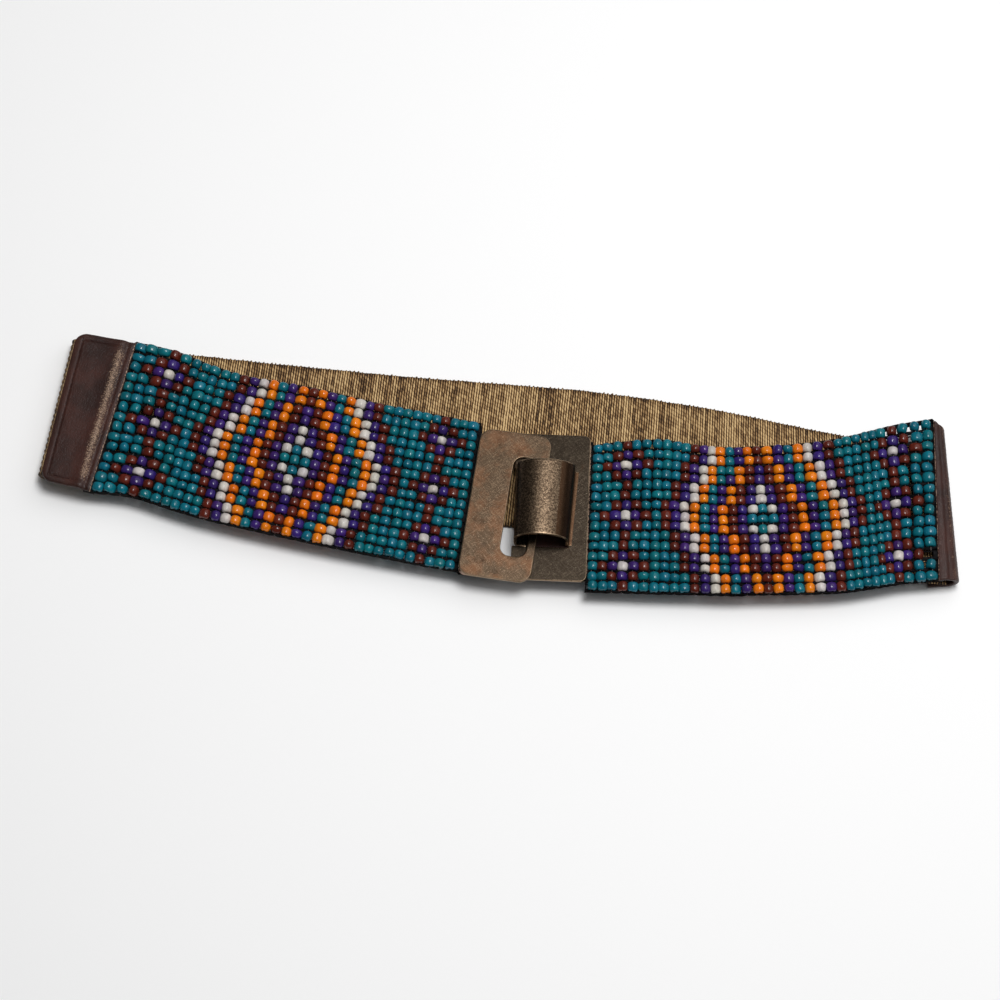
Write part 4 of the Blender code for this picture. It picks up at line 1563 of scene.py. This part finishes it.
def left_tab_mesh(settings):
    """Leather tab over the webbing's end, with a pressed line round it and a ridge beside the beads."""
    rings, wear_and_highlight_rows, cuts = [], [], []
    for step in range(TAB_STEPS + 1):
        even = step / TAB_STEPS
        share = 0.5 * math.sin(0.5 * math.pi * even) + 0.5 * even
        outward = LEFT_TAB_LENGTH * (1.0 - share)
        middle, lean, width = tab_station(LEFT_PANEL_END + LEFT_TAB_LENGTH * share)
        _, across = along_and_across(lean)
        inset = min(max(LEFT_TAB_CORNER - outward, 0.0), 0.985 * LEFT_TAB_CORNER)
        width -= 2.0 * (LEFT_TAB_CORNER - math.sqrt(LEFT_TAB_CORNER**2 - inset**2))
        thickness = LEATHER_THICKNESS * blend(LEFT_TAB_PROFILE, share, 1)
        base = middle + UP * (LEFT_TAB_BOTTOM - FRONT_BASE)
        ridge, groove = bell(share, *RIDGE), bell(share, *GROOVE)
        ring, rub = [], []
        for side, height in flat_section(width, 0.0, thickness, TAB_STEPS_ACROSS, TAB_ROUNDING):
            to_edge = 0.5 * width - abs(side)
            reach = min(to_edge, outward)
            top = height / thickness
            line = bell(reach, settings.seam, SEAM_WIDTH) if share > SEAM_START else 0.0
            rim = RIM_DROP * math.exp(-reach / RIM_REACH)
            puff = PUFF_HEIGHT * bell(reach, 0.5 * settings.seam, PUFF_WIDTH)
            sway = TAB_SWAY * noise.noise(Vector((share * 5.0, side * 160.0, 0.0)))
            relief = top * (puff + sway - rim - SEAM_DEPTH * line)
            ring.append(base + across * side + UP * (height + relief))
            # The ridge is painted lighter: partly worn leather, partly a painted highlight.
            ridge_wear_and_highlight = RIDGE_WEAR_AND_HIGHLIGHT * ridge * unit(to_edge / RIDGE_FADE)
            worn_rim = RIM_WEAR * math.exp(-reach / RIM_WEAR_REACH)
            rub.append(top * max(ridge_wear_and_highlight, GROOVE_WEAR * groove, LINE_WEAR * line, worn_rim))
        rings.append(ring)
        wear_and_highlight_rows.append(rub)
        cuts.append([1.0 if share < CUT_SHARE else 0.0] * len(ring))
    return skin("tab", rings, {"rub": wear_and_highlight_rows, "cut": cuts})


def right_tab_mesh():
    """Leather from the beads round the right fold and under the webbing's end."""
    half = 0.5 * LEATHER_THICKNESS
    top, _, top_width = front_station(RIGHT, RIGHT_FOLD_AT)
    top_aside = top.y - 0.5 * RIGHT_TAB_INSET
    top_width -= RIGHT_TAB_INSET
    low_lean, low_aside = FLOOR_RUN[-1][2], FLOOR_RUN[-1][1] * BELT_WIDTH
    low_width = (FLOOR_RUN[-1][3] - RIGHT_FLAP_INSET) * BELT_WIDTH
    centre_height = half + RIGHT_FOLD_RADIUS
    rings, wear_and_highlight_rows, cuts = [], [], []

    def add(middle, across, outward, width, thickness, place, flare):
        ring, rub = [], []
        for side, height in flat_section(width, -half, thickness - half, RIGHT_STEPS_ACROSS, FOLD_ROUNDING):
            top_share = (height + half) / thickness
            tooth = FOLD_TEETH * abs(math.sin(math.pi * side / FOLD_TOOTH_SPACING)) * flare
            sway = FOLD_SWAY * noise.noise(Vector((place * 3.0, side * 140.0, 7.0)))
            ring.append(middle + across * side + outward * (height + top_share * (sway + tooth)))
            # The crest is painted lighter: partly worn leather, partly a painted highlight.
            rub.append(top_share * CREST_WEAR_AND_HIGHLIGHT * bell(place, *CREST))
        rings.append(ring)
        wear_and_highlight_rows.append(rub)
        cuts.append([1.0 if place < CUT_END else 0.0] * len(ring))

    middle, lean, width = front_station(RIGHT, RIGHT_PANEL_END)
    _, across = along_and_across(lean)
    width -= RIGHT_TAB_INSET
    middle -= across * (0.5 * RIGHT_TAB_INSET)
    first = Vector((middle.x, middle.y, centre_height + RIGHT_FOLD_RADIUS))
    thickness = LEATHER_THICKNESS * RIGHT_TAB_PROFILE[0][1]
    add(first, across, UP, width, 0.85 * thickness, CUT_FACE, 0.0)
    add(first + Vector((FOLD_ROUNDING, 0.0, 0.0)), across, UP, width, thickness, CUT_CORNER, 0.0)
    for step in range(RIGHT_FOLD_STEPS + 1):
        share = step / RIGHT_FOLD_STEPS
        angle = math.pi * share
        width = top_width + (low_width - top_width) * share
        along, across = along_and_across(RIGHT_FOLD_LEAN + (low_lean - RIGHT_FOLD_LEAN) * share)
        outward = along * math.sin(angle) + UP * math.cos(angle)
        centre = Vector((RIGHT_FOLD_AT, top_aside + (low_aside - top_aside) * share, centre_height))
        middle = centre + outward * RIGHT_FOLD_RADIUS
        thickness = LEATHER_THICKNESS * blend(RIGHT_TAB_PROFILE, 180.0 * share, 1)
        add(middle, across, outward, width, thickness, 180.0 * share, math.sin(angle))
    along, across = along_and_across(low_lean)
    for part, thickness in FLAP_PROFILE:
        last = Vector((RIGHT_FOLD_AT, low_aside, half)) - along * (RIGHT_FLAP_LENGTH * part)
        add(last, across, -UP, low_width, thickness * LEATHER_THICKNESS, FLAP_PLACE, 0.0)
    return skin("fold", rings, {"rub": wear_and_highlight_rows, "cut": cuts})


# How far in from a plate's edge its flat face starts, and the softened edge of the pads, in metres
PLATE_RIM = 0.0005
PAD_BEVEL = 0.00015


def rounded_outline(low, high, radii, steps=8):
    """Corner points of a rectangle in plan, with one radius per corner from the near left, anticlockwise."""
    corners = ((low[0], low[1]), (high[0], low[1]), (high[0], high[1]), (low[0], high[1]))
    signs = ((1, 1), (-1, 1), (-1, -1), (1, -1))
    points = []
    for number, (corner, sign, radius) in enumerate(zip(corners, signs, radii)):
        centre = (corner[0] + sign[0] * radius, corner[1] + sign[1] * radius)
        first = math.radians(180.0 + 90.0 * number)
        for step in range(steps + 1):
            angle = first + math.radians(90.0) * step / steps
            points.append((centre[0] + radius * math.cos(angle), centre[1] + radius * math.sin(angle)))
    return points


def inset_outline(points, distance):
    """Closed outline moved inwards by a distance, or outwards by a negative one."""
    count = len(points)
    pairs = zip(points, list(points[1:]) + [points[0]])
    area = sum(first[0] * second[1] - second[0] * first[1] for first, second in pairs)
    sign = 1.0 if area > 0.0 else -1.0
    moved = []
    for index, point in enumerate(points):
        before = Vector(point) - Vector(points[index - 1])
        after = Vector(points[(index + 1) % count]) - Vector(point)
        first = Vector((-before.y, before.x)).normalized() * sign
        second = Vector((-after.y, after.x)).normalized() * sign
        corner = (first + second) / max(1.0 + first.dot(second), 0.3)
        moved.append(tuple(Vector(point) + corner * distance))
    return moved


def plate_mesh(outline, origin, turn, bottom, top, bevel, hole=None, mark="edge"):
    """Flat plate over an outline, with bevelled rims, and with a hole of as many points if one is given."""
    along, across = along_and_across(-turn)
    levels = [
        (PLATE_RIM, bottom, 0.0),
        (bevel, bottom, 1.0),
        (0.0, bottom + bevel, 1.0),
        (0.0, top - bevel, 1.0),
        (bevel, top, 1.0),
        (PLATE_RIM, top, 0.0),
    ]
    loops = [(inset_outline(outline, inset), height, value) for inset, height, value in levels]
    if hole:
        loops += [(inset_outline(hole, -inset), height, value) for inset, height, value in reversed(levels)]
    rings, marks = [], []
    for points, height, value in loops:
        rings.append([origin + along * x + across * y + UP * height for x, y in points])
        marks.append([value] * len(points))
    return skin("plate", rings, {mark: marks}, looped=hole is not None)


def pad_mesh(half):
    """Thin leather pad between the thread ends and a plate, with its cut edge all round."""
    side = 0.5 * half.plate_width - PAD_MARGIN
    if half is LEFT:
        ends = (-FRAME_EDGE, -FRAME_EDGE + LEFT_PAD_LENGTH)
        bottom, top = LEFT_PAD_BOTTOM, LEFT_PAD_TOP
    else:
        # The right pad runs on under the hook's notch: a dark sheet put there to fill the shade under the
        # hook.
        ends = (-RIGHT_PAD_LENGTH, 0.5 * PANEL_TO_PLATE)
        bottom, top = RIGHT_PAD_BOTTOM, RIGHT_PAD_TOP
    outline = rounded_outline((ends[0], -side), (ends[1], side), (HOOK_PLATE_CORNER,) * 4)
    return plate_mesh(outline, half.plate_place, half.plate_turn, bottom, top, PAD_BEVEL, mark="cut")


class BELT_OT_leather(bpy.types.Operator):
    """Builds the leather tab, the leather fold, the pads under the plates and their stitches"""

    bl_idname = "belt.leather"
    bl_label = "Leather"

    def execute(self, context):
        settings = context.scene.belt_leather
        material = leather_finish(settings)
        add_piece("leather_tab", left_tab_mesh(settings), material, ["end_tab_left"])
        add_piece("leather_fold", right_tab_mesh(), material, ["end_tab_right"])
        for half in (LEFT, RIGHT):
            nodes = ["backing_pad_" + half.name]
            add_piece("leather_pad_" + half.name, pad_mesh(half), material, nodes, 60.0)
        thread = thread_finish("leather_thread", linear(48, 30, 28), 0.5)
        shape = (SEAM_FLOAT * settings.stitch, *SEAM_SHAPE)
        sew("leather_stitches", self.stitch_points(settings), shape, SEAM_SEED, thread)
        return {"FINISHED"}

    @staticmethod
    def stitch_points(settings):
        """Places and turns of the stitches that follow the pressed line of the tab."""
        seam = settings.seam
        outer = LEFT_PANEL_END + LEFT_TAB_LENGTH - seam
        inner = LEFT_PANEL_END + 0.30 * LEFT_TAB_LENGTH
        places, turns = [], []
        height = UP * (LEFT_TAB_BOTTOM - FRONT_BASE + LEATHER_THICKNESS - 0.00012)
        count = int((outer - inner) / settings.stitch)
        for step in range(count):
            middle, lean, width = tab_station(inner + settings.stitch * (step + 0.5))
            _, across = along_and_across(lean)
            for sign in (-1.0, 1.0):
                places.append(middle + across * (sign * (0.5 * width - seam)) + height)
                turns.append((0.0, 0.0, math.radians(90.0 - lean)))
        middle, lean, width = tab_station(outer)
        _, across = along_and_across(lean)
        count = int((width - 2.0 * seam) / settings.stitch)
        for step in range(count + 1):
            side = -0.5 * width + seam + (width - 2.0 * seam) * step / count
            places.append(middle + across * side + height)
            turns.append((0.0, 0.0, math.radians(-lean)))
        return places, turns


class BuckleSettings(bpy.types.PropertyGroup):
    """Two-plate hook buckle of antiqued brass."""

    bevel: length_property("Bevel", "Width of the softened rims of the plates", 0.00022)
    warm: color_property("Warm metal", "Copper-brown areas", 86, 61, 44)
    grey: color_property("Grey metal", "Brown-grey areas", 63, 51, 40)
    bright: color_property("Worn metal", "Rubbed rims and high spots", 168, 144, 118)
    dark: color_property("Patina", "Dark patina in the low spots", 30, 22, 17)
    # Lacquer colour that also paints the brown reflection at the hook's bend
    lacquer_and_reflection: color_property("Lacquer", "Brown lacquer left at the hook's bend and over its plate", 62, 40, 25)


# Where the hook's sheet starts and where its bend ends, on the mark that is 0 on the plate and goes from 1 at
# the sheet's root to 2 at its far wall. The plate is painted darker as shade, the sheet lighter as a painted
# highlight, and the bend brown, lacquer colour that also paints a reflection
SHEET_START = (0.45, 0.55)
BEND_END = (1.20, 1.24)


def brass_finish(name, settings, warmth, roughness, lacquer_and_painted_light=False):
    """Antiqued brass with crossed brush lines and blotches of patina, and rubbed rims brightened further as a
    painted highlight; on the hook, a plate darkened as painted shade, a sheet brightened as painted highlight
    and a lacquer-brown bend that also paints a reflection.
    """
    finish = Finish(name, {"Metallic": 1.0})
    place = finish.position()
    first = finish.noise(finish.position(41.0, (16.0, 1.0, 1.0)), 3900.0, 3.0, 0.75)
    second = finish.noise(finish.position(-47.0, (16.0, 1.0, 1.0)), 3600.0, 3.0, 0.75)
    blotch = finish.noise(place, 105.0, 4.0, 0.62)
    speck = finish.noise(place, 1900.0, 4.0, 0.8)
    lines = finish.math("MAXIMUM", finish.between(first, 0.50, 0.72), finish.between(second, 0.51, 0.74))
    warm = finish.between(blotch, 0.62 - 0.25 * warmth, 0.86 - 0.25 * warmth)
    color = finish.mix(warm, settings.grey, settings.warm)
    grime = finish.between(finish.noise(place, 230.0, 5.0, 0.7) * 0.6 + speck * 0.4, 0.49, 0.66)
    color = finish.mix(grime * 0.55, color, settings.dark)
    color = finish.mix(lines * 0.24, color, settings.bright)
    color = finish.mix(finish.between(speck, 0.53, 0.70) * 0.45, color, settings.bright)
    if lacquer_and_painted_light:
        inward = finish.attribute("inward", "Fac") + (speck - 0.5) * 0.03
        sheet = finish.between(inward, *SHEET_START)
        # The hook's plate is a darkened copy of the brass: painted shade.
        plate_shaded_color = finish.mix(1.0, color, (0.34, 0.38, 0.42), "MULTIPLY")
        # Brown at the bend: lacquer colour that also paints the brown reflection on the hook's right flank.
        bend_lacquer_and_reflection = finish.mix(0.62, color, settings.lacquer_and_reflection)
        # The sheet is brightened with grain speckles: painted highlight.
        grain = finish.between(finish.noise(place, 1400.0, 4.0, 0.85), 0.44, 0.60)
        sheet_speckle_and_highlight = finish.mix(grain * 0.34, color, settings.bright)
        sheet_speckle_and_highlight = finish.mix(grain * 0.55 + 0.45, finish.mix(0.7, sheet_speckle_and_highlight, settings.dark), sheet_speckle_and_highlight)
        color = finish.mix(finish.between(inward, *BEND_END), bend_lacquer_and_reflection, sheet_speckle_and_highlight)
        color = finish.mix(sheet, plate_shaded_color, color)
    # Rims rubbed bright: worn brass, brightened further as a painted highlight.
    edge = finish.attribute("edge", "Fac")
    rub = finish.between(edge + (blotch - 0.5) * 1.1 + (speck - 0.5) * 0.5, 0.55, 1.05)
    color = finish.mix(rub * 0.9, color, settings.bright)
    finish.wire("Base Color", color)
    finish.wire("Roughness", roughness + (blotch - 0.5) * 0.20 - lines * 0.06 - rub * 0.06 + grime * 0.12)
    finish.bump(first * 0.4 + second * 0.4 + speck * 0.5, 0.00007, 0.7)
    return finish.material


# Curled sheet of the hook: rim within which its ends are softened in metres, steps across it, and the share
# of the way along it from which its tip counts as worn
HOOK_RIM = 0.0008
HOOK_STEPS = 24
HOOK_TIP_FROM = 0.985


def hook_sheet_middle(steps):
    """Points along the middle of the hook's sheet: share of the way inwards from its root, and height."""
    points = []
    last = len(HOOK_PROFILE) - 1
    for index in range(last):
        rows = [HOOK_PROFILE[min(max(index + shift, 0), last)] for shift in (-1, 0, 1, 2)]
        for step in range(steps if index < last - 1 else steps + 1):
            t = step / steps
            weights = (
                0.5 * (-t + 2.0 * t * t - t * t * t),
                0.5 * (2.0 - 5.0 * t * t + 3.0 * t * t * t),
                0.5 * (t + 4.0 * t * t - 3.0 * t * t * t),
                0.5 * (t * t * t - t * t),
            )
            inwards = sum(weight * row[0] for weight, row in zip(weights, rows))
            height = sum(weight * row[1] for weight, row in zip(weights, rows))
            points.append((inwards, HOOK_RISE * height))
    return points


def hook_section(root, far_wall):
    """Outline of the hook's sheet seen along the belt's width, and each point's share of the way along it."""
    reach = far_wall - root
    chain = [Vector((-root - reach * inwards, height)) for inwards, height in hook_sheet_middle(6)]
    inner, outer, shares = [], [], []
    for index, point in enumerate(chain):
        before, after = chain[max(index - 1, 0)], chain[min(index + 1, len(chain) - 1)]
        direction = (after - before).normalized()
        normal = Vector((-direction.y, direction.x)) * (0.5 * PLATE_THICKNESS)
        inner.append(point + normal)
        outer.append(point - normal)
        shares.append(index / (len(chain) - 1))
    return inner + list(reversed(outer)), shares + list(reversed(shares))


def hook_mesh(settings):
    """Right plate with its notch, and the curled sheet that rises from the notch's root."""
    edge = RIGHT.plate_place
    half_width = 0.5 * HOOK_PLATE_WIDTH
    outer = rounded_outline((-HOOK_PLATE_LENGTH, -half_width), (0.0, half_width), (HOOK_PLATE_CORNER,) * 4)
    along, across = along_and_across(-HOOK_TURN)
    middle = -across.dot(edge)
    side = 0.5 * HOOK_WIDTH + HOOK_SIDE_GAP
    root_edge = -HOOK_ROOT - 0.5 * PLATE_THICKNESS
    notch = [
        (-HOOK_PLATE_LENGTH, middle + side),
        (root_edge, middle + side),
        (root_edge, middle - side),
        (-HOOK_PLATE_LENGTH, middle - side),
    ]
    plate = plate_mesh(outer + notch, edge, HOOK_TURN, HOOK_BOTTOM, HOOK_TOP, settings.bevel)
    slot_low = -0.5 * FRAME_LENGTH + FRAME_BAR
    slot_high = 0.5 * FRAME_LENGTH - FRAME_POST
    far_wall = HOOK_EDGE - slot_low - HOOK_LANDING * (slot_high - slot_low)
    centre_height = 0.5 * (HOOK_BOTTOM + HOOK_TOP)
    bevel = settings.bevel
    places = [0.0, bevel, HOOK_RIM]
    places += [HOOK_RIM + (HOOK_WIDTH - 2.0 * HOOK_RIM) * step / HOOK_STEPS for step in range(1, HOOK_STEPS)]
    places += [HOOK_WIDTH - HOOK_RIM, HOOK_WIDTH - bevel, HOOK_WIDTH]
    rings, marks, inwards = [], [], []
    for place in places:
        end = place / HOOK_WIDTH - 0.5
        root = HOOK_ROOT + 0.5 * PLATE_THICKNESS - end * HOOK_SPLAY
        section, shares = hook_section(root, far_wall)
        if place in (0.0, HOOK_WIDTH):
            section = [Vector(point) for point in inset_outline(section, 0.8 * bevel)]
        base = edge + across * (middle + end * HOOK_WIDTH) + UP * centre_height
        rings.append([base + along * point.x + UP * point.y for point in section])
        inwards.append([1.0 + (-point.x - root) / (far_wall - root) for point in section])
        near_rim = 1.0 if place <= bevel or place >= HOOK_WIDTH - bevel else 0.0
        marks.append([max(near_rim, 1.0 if share > HOOK_TIP_FROM else 0.0) for share in shares])
    plate.attributes.new("inward", "FLOAT", "POINT")
    sheet = skin("hook_sheet", rings, {"edge": marks, "inward": inwards})
    for mesh in (plate, sheet):
        tidy_mesh(mesh, 50.0)
    return join_meshes("hook", [plate, sheet])


def frame_mesh(settings):
    """Left plate with its slot and bevelled rims."""
    half = (0.5 * FRAME_LENGTH, 0.5 * FRAME_WIDTH)
    outer = rounded_outline((-half[0], -half[1]), half, (FRAME_CORNER,) * 4)
    slot_low = (-half[0] + FRAME_BAR, -0.5 * SLOT_LENGTH)
    slot_high = (half[0] - FRAME_POST, 0.5 * SLOT_LENGTH)
    hole = rounded_outline(slot_low, slot_high, (SLOT_CORNER,) * 4)
    top = FRAME_BOTTOM + PLATE_THICKNESS
    return plate_mesh(outer, LEFT.plate_place, FRAME_TURN, FRAME_BOTTOM, top, settings.bevel, hole)


class BELT_OT_buckle(bpy.types.Operator):
    """Builds the slotted plate and the plate with the curled hook"""

    bl_idname = "belt.buckle"
    bl_label = "Hook buckle"

    def execute(self, context):
        settings = context.scene.belt_buckle
        warm = brass_finish("warm_brass", settings, 0.9, 0.44)
        grey = brass_finish("grey_brass", settings, 0.0, 0.34, True)
        add_piece("slotted_plate", frame_mesh(settings), warm, ["buckle_frame"], 50.0)
        add_piece("hook_plate", hook_mesh(settings), grey, ["buckle_hook"], 50.0)
        return {"FINISHED"}


# Half of the floor's side, and the camera's and lights' places from the belt's middle, in metres
FLOOR_REACH = 4.0
CAMERA_PLACE = (0.04532, -0.42292, 1.01866)
SOFT_PLACE = (0.50, 0.40, 1.25)
SOFT_SIZE = 2.1
CORE_PLACE = (0.19, 0.10, 1.15)
CORE_SIZE = 0.46

# Turns of the camera from looking straight down, in degrees: tilt and turn in plan
CAMERA_TILT = 23.0
CAMERA_TURN = 6.4

WORLD_STRENGTH = 0.10


def power_property(name, description, default):
    """Power of a light in watts."""
    return FloatProperty(name=name, description=description, default=default, min=0.0, unit="POWER")


class StageSettings(bpy.types.PropertyGroup):
    """Floor, lights and camera."""

    floor: color_property("Floor", "Pale floor", 246, 246, 246)
    overhead: power_property("Overhead light", "Power of the wide soft light", 12.5)
    core: power_property("Core light", "Power of the small bright light", 8.5)
    lens: FloatProperty(name="Lens", description="Focal length of the camera", default=100.0, unit="CAMERA")


class BELT_OT_stage(bpy.types.Operator):
    """Builds the floor, the soft lights and the camera"""

    bl_idname = "belt.stage"
    bl_label = "Stage"

    def execute(self, context):
        settings = context.scene.belt_stage
        scene = context.scene
        mesh = bpy.data.meshes.new("floor")
        corners = [(x * FLOOR_REACH, y * FLOOR_REACH, 0.0) for x, y in ((-1, -1), (1, -1), (1, 1), (-1, 1))]
        mesh.from_pydata(corners, [], [(0, 1, 2, 3)])
        finish = Finish("floor_paper", {"Roughness": 0.9, "Specular IOR Level": 0.2})
        finish.shader.inputs["Base Color"].default_value = (*settings.floor, 1.0)
        mesh.materials.append(finish.material)
        floor = bpy.data.objects.new("floor", mesh)
        scene.collection.objects.link(floor)
        self.add_light(scene, "overhead_soft", SOFT_PLACE, SOFT_SIZE, settings.overhead)
        self.add_light(scene, "overhead_core", CORE_PLACE, CORE_SIZE, settings.core)
        world = bpy.data.worlds.new("studio")
        world.use_nodes = True
        background = world.node_tree.nodes["Background"]
        background.inputs["Color"].default_value = (1.0, 1.0, 1.0, 1.0)
        background.inputs["Strength"].default_value = WORLD_STRENGTH
        scene.world = world
        camera_data = bpy.data.cameras.new("camera")
        camera_data.lens = settings.lens
        camera = bpy.data.objects.new("camera", camera_data)
        camera.location = MIDDLE + Vector(CAMERA_PLACE)
        camera.rotation_euler = (math.radians(CAMERA_TILT), 0.0, math.radians(CAMERA_TURN))
        scene.collection.objects.link(camera)
        scene.camera = camera
        scene.view_settings.view_transform = "Standard"
        return {"FINISHED"}

    @staticmethod
    def add_light(scene, name, place, size, power):
        """Round area light at a place, pointing at the middle of the belt."""
        data = bpy.data.lights.new(name, "AREA")
        data.shape = "DISK"
        data.size = size
        data.energy = power
        light = bpy.data.objects.new(name, data)
        light.location = place
        light.rotation_euler = (-Vector(place)).to_track_quat("-Z", "Y").to_euler()
        scene.collection.objects.link(light)


class BELT_PT_panel(bpy.types.Panel):
    """Lists the belt's pieces with their settings"""

    bl_idname = "BELT_PT_panel"
    bl_label = "Beaded belt"
    bl_space_type = "VIEW_3D"
    bl_region_type = "UI"
    bl_category = "Belt"

    def draw(self, context):
        for operator, settings in STEPS:
            box = self.layout.box()
            box.operator(operator.bl_idname)
            group = getattr(context.scene, settings)
            for name in group.__annotations__:
                box.prop(group, name)


STEPS = (
    (BELT_OT_beads, "belt_beads"),
    (BELT_OT_threads, "belt_threads"),
    (BELT_OT_elastic, "belt_elastic"),
    (BELT_OT_leather, "belt_leather"),
    (BELT_OT_buckle, "belt_buckle"),
    (BELT_OT_stage, "belt_stage"),
)
GROUPS = (BeadSettings, ThreadSettings, ElasticSettings, LeatherSettings, BuckleSettings, StageSettings)


def register():
    """Adds the settings, the operators and the panel."""
    for (operator, settings), group in zip(STEPS, GROUPS):
        bpy.utils.register_class(group)
        bpy.utils.register_class(operator)
        setattr(bpy.types.Scene, settings, PointerProperty(type=group))
    bpy.utils.register_class(BELT_PT_panel)


def unregister():
    """Takes them away again."""
    bpy.utils.unregister_class(BELT_PT_panel)
    for (operator, settings), group in zip(STEPS, GROUPS):
        delattr(bpy.types.Scene, settings)
        bpy.utils.unregister_class(operator)
        bpy.utils.unregister_class(group)


def main():
    """Registers everything and builds all pieces and the stage."""
    register()
    bpy.ops.belt.beads()
    bpy.ops.belt.threads()
    bpy.ops.belt.elastic()
    bpy.ops.belt.leather()
    bpy.ops.belt.buckle()
    bpy.ops.belt.stage()


if __name__ == "__main__":
    main()
